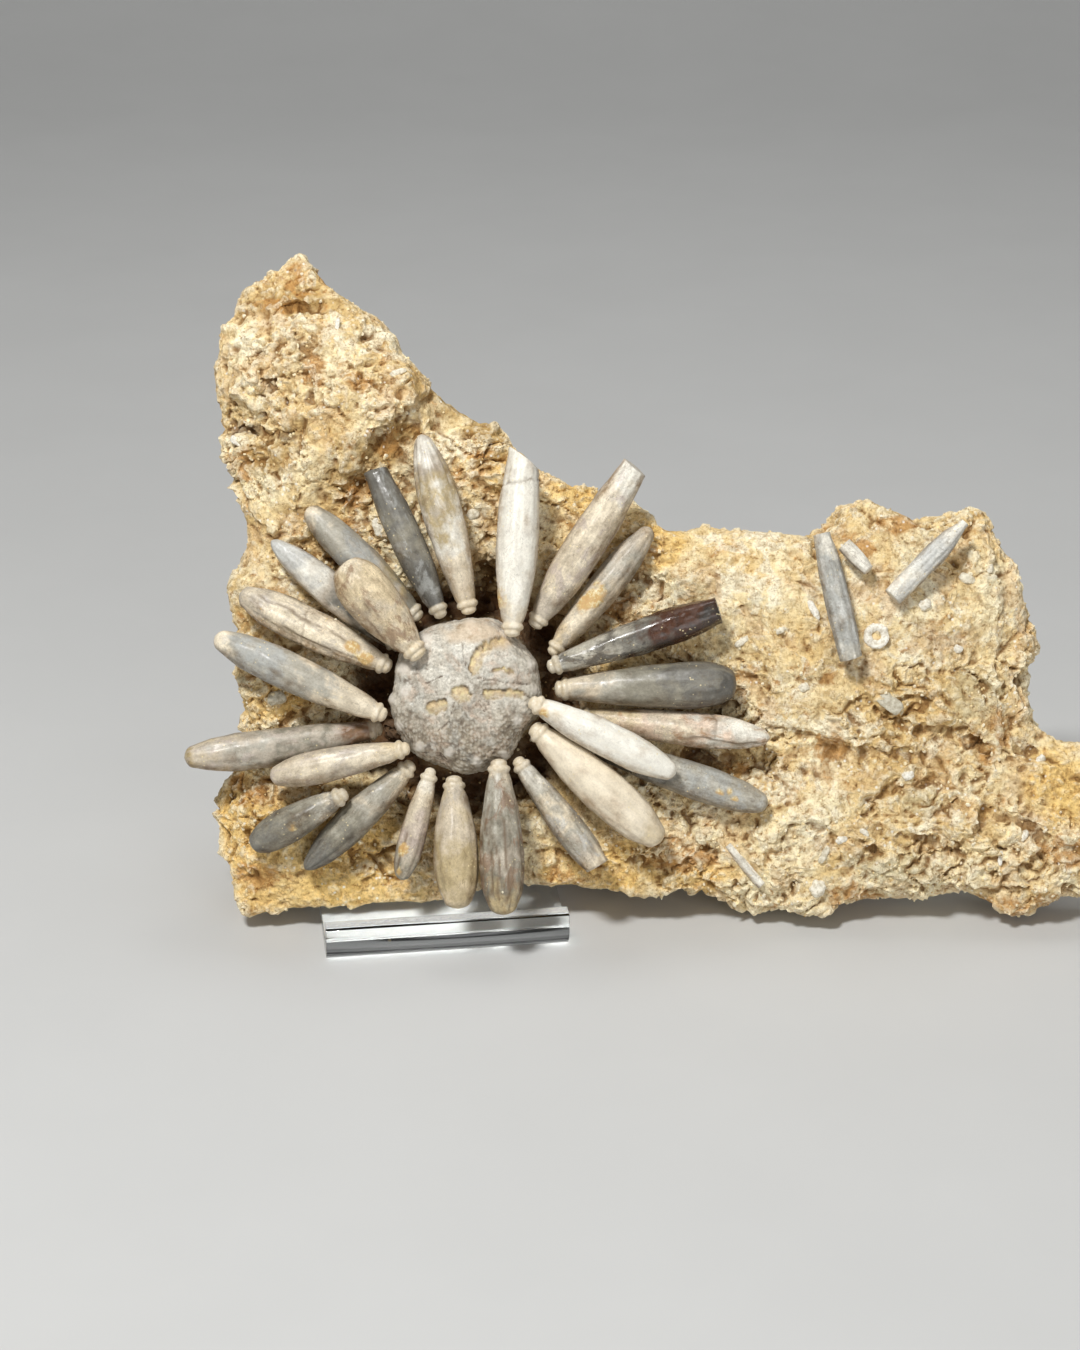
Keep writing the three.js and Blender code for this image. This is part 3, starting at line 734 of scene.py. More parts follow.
def spine_finish(name, seed, hues, stain, rough, calm=0.0, **_):
    """Polished fossil calcite: bands of colour from base to tip, streaks, stains and fine cracks."""
    f = Finish(name + "_calcite", rough, Coat_Weight=0.10, Coat_Roughness=0.22)
    grain = f.stretched(f.attribute("grain", "Vector"), (1, 1, 1), (0.1 * seed, 0.07 * seed, 0.05 * seed))
    drift = f.product(f.sum(f.noise(6, 3, vector=grain), -0.5), 0.9)
    stops = [((k + 0.1) / (len(hues) - 0.8), hue) for k, hue in enumerate(hues)]
    f.hue = f.ramp(f.sum(f.attribute("along"), drift), *stops)
    show = 1 - 0.75 * calm
    streaks = f.noise(1.5, 4, 0.6, f.stretched(grain, (1, 1, 0.16)))
    dull, bright = (0.74, 0.72, 0.69), (1.16, 1.16, 1.15)
    f.shade(0.65 * show, streaks, (0.36, dull), (0.62, bright))
    clouding = f.noise(3.4, 5, 0.66, grain, 0.5)
    f.shade(0.8 * show, clouding, (0.36, dull), (0.64, bright))
    blotch = f.noise(4.6, 5, 0.66, f.stretched(grain, (1, 1, 0.6)), 0.6)
    f.lay(f.ramp(blotch, (0.53, 0.0), (0.60, 0.65 * show)), stain)
    mottle = f.noise(0.6, 3, 0.75, grain)
    f.shade(0.75 * show, mottle, (0.34, dull), (0.64, bright))
    hairs = f.veins(f.noise(5.5, 4, 0.6, f.stretched(grain, (1, 1, 0.5), (0.3, 0.2, 0.1)), 0.4), 0.006)
    f.lay(f.product(hairs, 0.55 * show), UMBER)
    # Brown dust and painted shade on the flanks and on the side that faces down.
    under = f.attribute("under")
    dust_and_shade = f.noise(2.1, 4, 0.7, grain, 0.3)
    dust_and_shade = f.ramp(dust_and_shade, (0.42, 0.30 + 0.15 * show), (0.60, 0.65 + 0.35 * show))
    f.lay(f.product(dust_and_shade, under), (0.47, 0.37, 0.28), "MULTIPLY")
    specks = f.ramp(f.cells(1.3, grain), (0.12, 1.0), (0.20, 0.0))
    speck_share = f.product(specks, f.ramp(f.noise(7, 2, vector=grain), (0.53, 0.0), (0.58, 0.8)))
    f.lay(speck_share, YELLOW_CLAY)
    f.lay_marked("groove", 0.8, UMBER)
    stuck = f.noise(1.3, 4, 0.7, grain)
    stuck = f.ramp(stuck, (0.42, (0.60, 0.36, 0.13)), (0.50, OCHRE), (0.60, YELLOW_CLAY))
    f.lay_marked("clay", 0.9, stuck)
    f.lay_marked("cut", 0.75, f.mix(clouding, BEIGE, CHALK))
    ring = f.mix(f.ramp(f.noise(1.4, 3, vector=grain), (0.4, 0.0), (0.6, 1.0)), SAND, MILK)
    f.lay_marked("collar", 0.6, ring)
    f.coloured()
    f.rough(f.ramp(f.noise(2.2, 3, vector=grain), (0.38, max(rough - 0.08, 0.1)), (0.66, rough + 0.2)))
    f.relief((streaks, 0.22, 0.25), (mottle, 0.30, 0.12), (clouding, 0.2, 0.3))
    return f.material


spine_meshes = {}
for seed, (name, look) in enumerate(SPINES.items(), start=1):
    mesh = spine_mesh(name, seed, **look)
    mesh.materials.append(spine_finish(name, seed, **look))
    new_piece(name + "_stone", mesh, [name])
    spine_meshes[name] = mesh


def clear_of_spines(points):
    """How far points in the face's frame are from the nearest spine's surface."""
    least = np.full(len(points), 1e9)
    for distances, middles, radii in STATIONS.values():
        along = middles[-1] - middles[0]
        along = along / np.linalg.norm(along)
        reach = (points - middles[0]) @ along
        inside = np.clip(reach, 0, distances[-1])
        centre = np.stack([np.interp(inside, distances, middles[:, k]) for k in range(3)], -1)
        gap = np.linalg.norm(points - centre, axis=1) - np.interp(inside, distances, radii)
        least = np.minimum(least, gap)
    return least


# ---------------------------------------------------------------- the shell

SHELL_ROWS = 150
SHELL_COLUMNS = 300
CROWN_REACH = 7.0
SHELL_BOSSES = [  # the knobs that spines sat on: where on the face, how wide, how high
    (-16.2, 6.8, 2.0, 0.55), (-15.9, 0.8, 1.9, 0.50), (-19.2, -1.2, 1.4, 0.55),
    (-12.2, -13.3, 1.5, 0.80), (-4.4, -14.8, 1.5, 0.95), (13.0, -6.5, 1.5, 0.50),
    (9.6, -15.3, 1.4, 0.55), (2.8, -17.2, 1.4, 0.45), (-10.5, 14.6, 1.7, 0.35), (16.6, 8.0, 1.6, 0.40),
    (10.4, 16.2, 1.6, 0.40), (0.9, 18.4, 1.7, 0.55), (-17.4, -8.0, 1.5, 0.45), (17.6, 1.2, 1.4, 0.40),
]
CLAY = [  # shallow recesses in the shell that yellow clay fills: line, half width
    ([(1.9, 6.8), (2.9, 10.0), (5.2, 12.6)], 1.35),
    ([(5.2, 12.6), (7.2, 13.8), (9.4, 14.6)], 0.90),
    ([(5.4, 0.3), (9.6, 0.6), (14.0, 0.4)], 0.95),
    ([(-8.9, -3.2), (-6.3, -2.6)], 1.50),
    ([(-2.0, 0.4), (-0.6, 0.4)], 1.90),
    ([(7.2, 6.5), (9.6, 6.9), (12.0, 5.8)], 0.30),
]
SHELL_WARM_PARTS = [(2.0, 16.5, 7.5, 3.0), (9.0, 13.5, 3.0, 2.0)]
HAIR_CRACKS = [
    [(1.2, 6.2), (-0.6, 9.0), (-1.0, 13.0), (0.8, 18.0)],
    [(5.6, 14.6), (8.8, 17.0), (11.0, 17.8)],
    [(7.2, 13.2), (10.4, 15.8), (13.0, 15.4)],
    [(-6.0, 5.0), (-10.0, 3.2), (-14.0, 4.2)],
    [(14.2, 0.9), (17.5, -1.5), (19.0, -5.0)],
    [(3.0, 4.2), (6.5, 4.0), (10.5, 3.2), (15.5, 3.0)],
    [(-3.0, -2.0), (-4.5, -7.0), (-9.5, -11.0)],
    [(3.0, -1.5), (6.5, -7.0), (6.0, -12.5)],
]


def shell_outline():
    """The shell's radius and level from its crown to its underside, from its solid."""
    points = to_face(shell_points)
    radius = np.linalg.norm(points[:, :2], axis=1)
    levels = np.unique(np.round(points[:, 2], 2))[::-1]
    reach = np.array([radius[np.abs(points[:, 2] - w) < 0.03].max() for w in levels])
    # The dimple at the crown is filled in, to be made again where the middle plate was.
    crown = np.argmax(reach > CROWN_REACH)
    rise = 0.5 * CROWN_REACH * (levels[crown] - levels[crown + 1]) / (reach[crown + 1] - reach[crown])
    return np.append(0, reach[crown:]), np.append(levels[crown] + rise, levels[crown:])


def shell_form():
    """The shell's smooth form: pressed in at its lower right, and slightly five-sided."""
    reach, levels = shell_outline()
    steps = np.concatenate([[0], np.cumsum(np.hypot(np.diff(reach), np.diff(levels)))])
    s = np.linspace(0, steps[-1], SHELL_ROWS)
    radius, level = (running_mean(np.interp(s, steps, line), 5) for line in (reach, levels))
    radius[0] = 0.15
    R, T = round_grid(radius, SHELL_COLUMNS)
    Z = np.repeat(level[:, None], SHELL_COLUMNS, axis=1)
    degrees = (np.degrees(T) + 28 + 180) % 360 - 180
    pressed = 1 - 0.10 * bump(degrees / 30)
    wavy = 1 + 0.016 * np.cos(5 * T + 0.6) + 0.010 * np.cos(9 * T + 2)
    points = np.stack([R * np.cos(T) * pressed * wavy, R * np.sin(T) * pressed * wavy, Z], -1).reshape(-1, 3)
    points = np.vstack([points, [0, 0, level[0]], [0, 0, level[-1]]])
    mesh = make_mesh("shell", from_face(points), grid_faces(SHELL_ROWS, SHELL_COLUMNS))
    mesh.flip_normals()
    return mesh, points


def shell_mesh():
    mesh, points = shell_form()
    out = mesh_normals(mesh) @ AXES.T
    facing = smooth_step((points[:, 2] + 6) / 5)
    height = 0.50 * clouds(points, 9, 2, 3) + 0.22 * clouds(points, 3.1, 3, 4)
    height += 0.07 * clouds(points, 0.95, 2, 5)
    knob, clay, rim, hair = np.zeros((4, len(points)))
    for u, v, wide, high in SHELL_BOSSES:
        away = np.hypot(points[:, 0] - u, points[:, 1] - v) * (1 + 0.15 * cloud(points, 1.5, 8))
        moat = 0.16 * bump((away - 1.7 * wide) / (0.5 * wide))
        height += facing * high * (bump((away / wide) ** 1.5) - moat)
        knob = np.maximum(knob, bump((away / (0.7 * wide)) ** 2))
    for line, half in CLAY:
        across = from_line(points, line) + 0.45 * clouds(points, 1.7, 4, 9, 0.6)
        # Each recess has a steep edge on its upper side, and fades out on its lower one.
        filled = (1 - smooth_step((across - half) / 0.45 + 0.5)) * smooth_step((across + half) / 1.1 + 0.7)
        height -= facing * (0.62 * filled - 0.14 * bump((across - half - 0.5) / 0.5))
        clay = np.maximum(clay, filled * (0.55 + 0.45 * smooth_step(0.7 + across / half)))
        # A painted shadow along the upper edge of each recess.
        rim = np.maximum(rim, bump((across - half + 0.05) / 0.34) * (0.55 + 0.9 * clouds(points, 1.6, 2, 10)))
    for line in HAIR_CRACKS:
        away = np.abs(from_line(points, line)) + 0.5 * clouds(points, 2.5, 3, 12)
        hair = np.maximum(hair, 1 - smooth_step(np.abs(away) / 0.30))
    height -= facing * 0.26 * hair
    # Fine granules, thickest on the lower half, which is darker too.
    worn = smooth_step(0.58 + 0.042 * points[:, 1] - 0.002 * points[:, 0] + 0.40 * clouds(points, 7, 2, 21))
    height += (1 - clay) * (granules(points, 0.95, 40) - 0.4) * (0.34 - 0.20 * worn)
    points = points + out * height[:, None]
    set_points(mesh, from_face(points))
    hollow = sunken(points, out, mesh_edges(mesh), 14)
    for label, values in (
        ("hollow", np.clip(0.5 + hollow / 0.55, 0, 1)),
        ("clay", clay),
        ("worn", worn),
        ("knob", knob * facing),
        ("rim", rim * facing),
        ("warm", patches(points, SHELL_WARM_PARTS, 22)),
    ):
        mark(mesh, label, values)
    return mesh


def shell_finish():
    f = Finish("shell_calcite", 0.60)
    worn = f.attribute("worn")
    clay = f.noise(1.6, 4, 0.7)
    clay = f.ramp(clay, (0.40, (0.82, 0.68, 0.36)), (0.50, (0.72, 0.54, 0.29)), (0.60, (0.52, 0.37, 0.20)))
    broad = f.ramp(f.noise(10, 4, 0.6, distortion=0.5), (0.40, 0.0), (0.60, 1.0))
    dark = f.mix(broad, (0.27, 0.225, 0.165), (0.43, 0.37, 0.28))
    pale = f.mix(broad, (0.58, 0.54, 0.46), (0.78, 0.75, 0.67))
    f.hue = f.mix(worn, dark, pale)
    warm = f.noise(6, 4, 0.65, distortion=0.8)
    f.lay(f.ramp(warm, (0.50, 0.0), (0.62, 0.6)), (0.56, 0.43, 0.33))
    cold = f.noise(4.5, 4, 0.65, f.stretched(f.place, (1, 1, 1), (0.2, 0.1, 0.3)))
    f.lay(f.ramp(cold, (0.52, 0.0), (0.62, 0.5)), (0.50, 0.50, 0.46))
    for size, dim, bright in ((1.7, 0.62, 1.22), (0.6, 0.70, 1.2)):
        f.shade(0.85, f.noise(size, 4, 0.7), (0.36, (dim, dim * 0.97, dim * 0.92)), (0.64, (bright,) * 3))
    # Painted shade, near black, in the hollows, and a painted highlight on the raised parts.
    hollow = f.attribute("hollow")
    f.lay(f.ramp(hollow, (0.54, 0.0), (0.90, 0.85)), (0.15, 0.11, 0.075))
    f.lay(f.ramp(hollow, (0.14, 0.45), (0.44, 0.0)), (0.72, 0.67, 0.57))
    f.lay_marked("knob", 0.6, (0.76, 0.70, 0.62))
    f.lay_marked("warm", 0.5, (0.66, 0.47, 0.28))
    f.lay_marked("clay", 0.85, clay)
    # Painted shadow along the upper edge of each clay recess.
    f.lay_marked("rim", 0.8, (0.11, 0.08, 0.05))
    f.coloured()
    f.rough(f.ramp(f.noise(2, 3), (0.38, 0.48), (0.66, 0.82)))
    f.relief((f.noise(0.5, 4, 0.75), 0.55, 0.28), (f.noise(1.5, 3), 0.35, 0.35))
    return f.material


mesh = shell_mesh()
mesh.materials.append(shell_finish())
new_piece("shell_stone", mesh, ["urchin_shell"])

# ---------------------------------------------------------------- the block

COARSE = 1.1  # the skin that the block's broad form is carved in
FINE = 0.68  # the skin that its broken surface is carved in
BLOCK_TRIANGLES = 190000
SPINE_MARGIN = 2.0  # how far from a spine the block's roughness grows to its full height
PEAK = (-45.5, 119.0)
MOAT = dict(radius=26.5, width=5.0, depth=9.0)  # the dark gap that was dug round the shell

HOLLOWS = [  # dug out of the face: where, reach along u and along v, depth
    (66.3, -2.3, 4.0, 2.2, 5.0), (61.0, -16.4, 5.0, 2.6, 4.0), (99.8, 8.6, 5.0, 4.0, 3.4),
    (5.0, 31.0, 3.6, 8.0, 6.0), (57.0, -5.5, 13.0, 3.0, 5.0), (66.0, -16.5, 9.0, 2.6, 4.0),
    (3.0, -31.0, 4.0, 10.0, 5.0), (-16.5, 56.0, 3.2, 7.0, 2.6), (-57.0, 69.5, 5.0, 2.8, 4.2),
    (-50.0, 66.0, 4.0, 3.0, 2.6), (-52.5, 80.5, 5.0, 2.2, 2.6), (-42.0, 77.0, 3.0, 3.0, 1.8),
    (-58.0, 104.5, 6.0, 2.2, 2.0), (93.0, -14.0, 6.0, 2.0, 2.4), (133.0, -10.5, 7.0, 2.6, 2.6),
    (30.0, 35.0, 3.0, 8.0, 3.0), (45.0, 30.0, 6.0, 3.0, 2.5), (-30.0, -8.5, 8.0, 2.0, 3.0),
    (-36.0, 13.0, 9.0, 2.4, 3.0), (26.0, -38.0, 4.0, 6.0, 2.5), (-20.0, -42.0, 4.0, 6.0, 2.5),
    (91.0, 3.0, 7.0, 2.2, 2.2), (14.0, 62.0, 3.0, 4.0, 1.5), (-41.0, 92.0, 3.0, 5.0, 1.4),
]
RISES = [  # lumps that stand out of the face, given in the same way
    (-56.0, 0.5, 9.0, 4.6, 3.2), (-60.0, -30.0, 6.0, 7.0, 1.6), (-54.0, 93.0, 7.0, 4.5, 1.8),
    (127.0, -33.0, 7.0, 4.0, 2.2), (83.0, 8.0, 6.0, 4.0, 1.2), (113.0, -20.0, 9.0, 2.5, 1.6),
    (100.0, -27.0, 8.0, 4.0, 1.5), (20.0, 53.0, 6.0, 4.0, 1.2), (-59.0, 66.0, 3.0, 1.8, 2.2),
    (142.0, -22.0, 8.0, 4.0, 1.6), (78.0, -32.0, 8.0, 4.0, 1.2),
]
LEDGES = [  # broken steps: a line run so that the higher side is on its left, and how high
    ([(-29, 59), (-23, 67), (-17, 73), (-11, 78)], 4.4),
    ([(-9.5, 70), (-11.5, 79), (-16, 88)], 2.2),
    ([(-33, 88), (-26, 84), (-19, 80)], 1.0),
    ([(-60, 101), (-49, 101.5), (-38, 103.5)], 1.6),
    ([(-58, 75), (-48, 70), (-41, 72)], 1.6),
    ([(78, -10.5), (90, -10), (96, -13), (106, -14), (116, -15)], 2.8),
    ([(119, -8), (129, -8), (137, -13)], 2.6),
    ([(89, -35), (97, -36), (104, -39)], 1.6),
    ([(118, -37.5), (126, -40.5), (132, -36), (135, -29)], 3.0),
    ([(133, -29), (144, -32), (155, -39), (166, -41)], 2.6),
    ([(103, -49), (113, -43.5), (124, -42)], 1.8),
    ([(146, -13), (156, -19), (170, -23)], 1.8),
    ([(141, -7), (139.5, 8), (140.5, 24), (137, 42)], 2.2),
    ([(62, -38), (72, -35), (84, -39)], 1.4),
    ([(38, -46), (50, -42), (58, -45)], 1.6),
    ([(-66, -44), (-56, -47), (-44, -46)], 1.8),
    ([(70, 22), (78, 26), (86, 24)], 0.8),
    ([(104, 18), (116, 14), (128, 16)], 0.9),
]
# Ovals of the face, each as (u, v, reach along u, reach along v).
SMOOTH_PARTS = [
    (104, 22, 36, 24), (62, 36, 18, 12), (-2, 77, 14, 10), (-30, 104, 9, 7), (-20, 95, 9, 10),
    (-33, 92, 9, 8), (-48, -53, 18, 9), (-44, 52, 9, 8),
]
TINTED_AND_SHADED_PARTS = {  # where the stone has a tint of its own, or, in the tan ovals, partly painted shade: a seed for the ragged edges, and the ovals
    "golden": (136, [
        (-56, -44, 16, 18), (-36, -50, 20, 9), (-30, -38, 14, 8), (34, -46, 16, 8), (-62, -28, 8, 9),
        (60, -48, 12, 5), (12, 57, 6, 7), (30, 52, 9, 6), (-52, -2, 10, 5), (160, -26, 14, 12),
        (52, 40, 6, 8),
    ]),
    "rusty": (132, [
        (-26, 4, 5, 7), (-34, -12, 6, 4), (-57, -25, 8, 5), (-43, 108, 9, 6), (-49, 102.5, 13, 2.5),
        (-40.5, 84.5, 4, 5), (-28, 81, 5, 3.5), (-60, 61, 5, 5), (2, 59, 5, 5), (-29, 53, 5, 5),
        (73, 5, 5, 4), (90, 6, 9, 4), (94, -14, 7, 4), (136, -10, 9, 6), (71, -19, 5, 3), (55, -42, 9, 5),
        (157, -41, 10, 4), (147, -57, 18, 6), (-52, 22, 8, 7), (37, 24, 6, 6), (46, 36, 5, 5),
        (-57, -47, 9, 5), (99, 40, 7, 5), (-20, 66, 5, 4), (113, 45, 8, 3), (29, -47, 8, 4),
        (100, -52, 10, 4), (-34, 44, 6, 4),
    ]),
    "pale": (133, [
        (-55, 1, 6, 4), (106, 27, 18, 7), (118, 12, 14, 6), (72, 27, 12, 6), (80, -8, 8, 3),
        (-54, 92, 8, 6), (-37, 98, 8, 4), (-54, 80, 5, 4), (-60, 66.5, 4, 2), (-22, 76, 9, 4),
        (-4, 66, 6, 4), (1, 48, 4, 5), (72, 40, 10, 4), (87, -2, 7, 4), (48, 25, 7, 5), (120, 30, 9, 6),
        (125, -32, 8, 4), (96, -8, 8, 4), (84, -24, 9, 5), (-22, 92, 9, 5), (104, 9, 6, 5),
        (150, -36, 8, 4), (65, -30, 6, 4),
    ]),
    "olive": (134, [
        (112, -46, 13, 4), (118, -28, 8, 4), (133, 0, 8, 7),
    ]),
    # Tan ovals: partly tan stone, partly painted shade on the tower's facet that turns from the lamps and at
    # the foot of its big ledge.
    "tan": (137, [
        (-11, 83, 4.5, 7), (-4, 76, 6, 5), (4, 70, 6, 4), (-45, 103.5, 14, 3.2), (-53, 62, 8, 4),
        (-24, 63, 7, 5), (-17, 69, 5, 4), (-31, 56, 6, 5),
    ]),
}
# Hollows of the face that are painted near black, as painted shade.
PAINTED_SHADE_PARTS = [
    (66.3, -2.3, 3.4, 2.0), (61, -16.4, 4.5, 2.4), (-57, 69.5, 5, 1.6), (-47, 67.5, 3, 1.6),
    (28, 33, 3, 6),
]


def skin(mesh, size):
    """A mesh as one even skin of small faces."""
    made = welded("skin", mesh)
    remesh = made.modifiers.new("remesh", "REMESH")
    remesh.mode = "VOXEL"
    remesh.voxel_size = size * MM
    return bake_modifiers(made)


def ledge(points, line, high, seed):
    """A broken step along a line: the stone stands out on its left and is undercut on its right."""
    signed = from_line(points, line) + 1.1 * clouds(points, 5, 3, seed)
    reach = np.where(signed > 0, 7.0, 3.5)
    return 0.55 * high * np.tanh(signed / 0.45) * np.exp(-np.abs(signed) / reach)


def lump(points, amount, u, v, wide, high):
    """A soft lump of a height at a place on the face."""
    return amount * bump((points[:, 0] - u) / wide) * bump((points[:, 1] - v) / high)


def block_form():
    """The block's broad form: softened, with its gap round the shell, its hollows and its ledges."""
    mesh = skin(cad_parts["limestone_block"].data.copy(), COARSE)
    edges = mesh_edges(mesh)
    points = to_face(mesh_points(mesh))
    firm = bump(np.hypot(points[:, 0] - PEAK[0], points[:, 1] - PEAK[1]) / 9)[:, None]
    soft = relaxed(points, edges, 6)
    points = soft + (points - soft) * firm
    set_points(mesh, from_face(points))
    out = smooth_step(((mesh_normals(mesh) @ AXES.T)[:, 2] - 0.1) / 0.5)
    ragged = points + 2.2 * np.stack([clouds(points, 8, 3, 200 + k) for k in range(3)], -1)
    radius = np.hypot(ragged[:, 0], ragged[:, 1])
    height = -MOAT["depth"] * bump((radius - MOAT["radius"]) / MOAT["width"])
    for *place, depth in HOLLOWS:
        height -= lump(ragged, depth, *place)
    free = smooth_step((clear_of_spines(points) + 0.5) / 3)
    for *place, rise in RISES:
        height += lump(ragged, free * rise, *place)
    for k, (line, high) in enumerate(LEDGES):
        height += free * ledge(points, line, high, 300 + k)
    points[:, 2] += out * height
    set_points(mesh, from_face(points))
    return skin(mesh, FINE)


def block_relief(points, rugged):
    """How far the broken stone stands out from its smooth form."""
    bent = points + 1.8 * np.stack([clouds(points, 8, 3, 60 + k) for k in range(3)], -1)
    height = 0.8 * clouds(points, 14, 2, 71)
    height += (0.55 + 1.45 * rugged) * chunks(bent, 8.5, 80, 1.1)
    height += (0.22 + 0.90 * rugged) * chunks(bent * (1, 1.3, 1), 3.8, 90, 1.2)
    height += (0.16 + 0.46 * rugged) * chunks(bent, 1.9, 110, 1.0)
    height += (0.20 + 0.12 * rugged) * clouds(points, 1.5, 2, 95, 0.6)
    height -= (0.8 + 2.4 * rugged) * np.maximum(clouds(bent, 5.5, 2, 97) - 0.34, 0)
    crevice = bump(cloud(bent * (1, 1.4, 1), 13, 120) / 0.055)
    crevice *= smooth_step(0.5 + 1.4 * cloud(points, 17, 121))
    return height - (0.4 + 1.2 * rugged) * crevice


def thinned(mesh, triangles, keep):
    """The mesh with fewer triangles. Most of them go where keep, from 0 to 1, is lowest."""
    made = new_object("thinned", mesh)
    group = made.vertex_groups.new(name="spare")
    steps = 5
    levels = np.clip((keep * steps).astype(int), 0, steps - 1)
    for level in range(steps):
        chosen = np.nonzero(levels == level)[0]
        group.add(chosen.tolist(), 0.8 - 0.1 * level, "REPLACE")
    modifier = made.modifiers.new("thin", "DECIMATE")
    modifier.ratio = triangles / (2 * len(mesh.polygons))
    modifier.use_collapse_triangulate = True
    modifier.vertex_group = "spare"
    modifier.vertex_group_factor = 1.0
    return bake_modifiers(made)


def nearest_points(old, new):
    """For each new point, which of the old points is nearest to it."""
    tree = KDTree(len(old))
    for k, point in enumerate(old):
        tree.insert(point, k)
    tree.balance()
    return np.array([tree.find(point)[1] for point in new])


def block_mesh():
    mesh = block_form()
    edges = mesh_edges(mesh)
    points = relaxed(to_face(mesh_points(mesh)), edges, 1)
    set_points(mesh, from_face(points))
    normals = mesh_normals(mesh) @ AXES.T
    gap = clear_of_spines(points)
    smooth_part = patches(points, SMOOTH_PARTS, 130)
    rugged = np.clip(0.55 + 1.0 * clouds(points, 20, 2, 131) - 0.6 * smooth_part, 0, 1)
    free = 0.10 + 0.90 * smooth_step(gap / SPINE_MARGIN)
    points = points + normals * ((block_relief(points, rugged) - 0.45) * free)[:, None]
    low, high = cad_box
    set_points(mesh, np.clip(from_face(points), (*low[:2], 0.0), high))
    normals = mesh_normals(mesh) @ AXES.T
    out = smooth_step((normals[:, 2] + 0.2) / 0.5)
    # How sunken each point is, which the finish turns into painted shade in the hollows and a painted
    # highlight on the ridges.
    hollow = 0.5 + sunken(points, normals, edges, 5) / 1.7 + sunken(points, normals, edges, 36) / 5
    radius = np.hypot(points[:, 0], points[:, 1])
    # Painted shade: near black deep in the gap round the shell, where the stone lies close under the spines
    # near it, and in a few hollows.
    buried = bump(np.maximum(radius - 25, 0) / 7) * smooth_step((-points[:, 2] - 8) / 9)
    near = (1 - smooth_step(gap / 3.2)) * smooth_step((-points[:, 2] - 3) / 5)
    near = near * out * bump((radius - 25) / 22)
    painted_shade = np.maximum(np.maximum(buried, 0.55 * near), 0.7 * patches(points, PAINTED_SHADE_PARTS, 135))
    marks = {"hollow": np.clip(hollow, 0, 1), "painted_shade": np.clip(painted_shade, 0, 1)}
    for label, (seed, ovals) in TINTED_AND_SHADED_PARTS.items():
        marks[label] = patches(points, ovals, seed)
    marks["strew"] = out * smooth_step((gap - 0.8) / 2) * (0.25 + 0.75 * rugged) * (1 - 0.8 * buried)
    mesh = thinned(mesh, BLOCK_TRIANGLES, out)
    origin = nearest_points(points, to_face(mesh_points(mesh)))
    for name, values in marks.items():
        mark(mesh, name, values[origin])
    set_smooth(mesh, False)
    return mesh


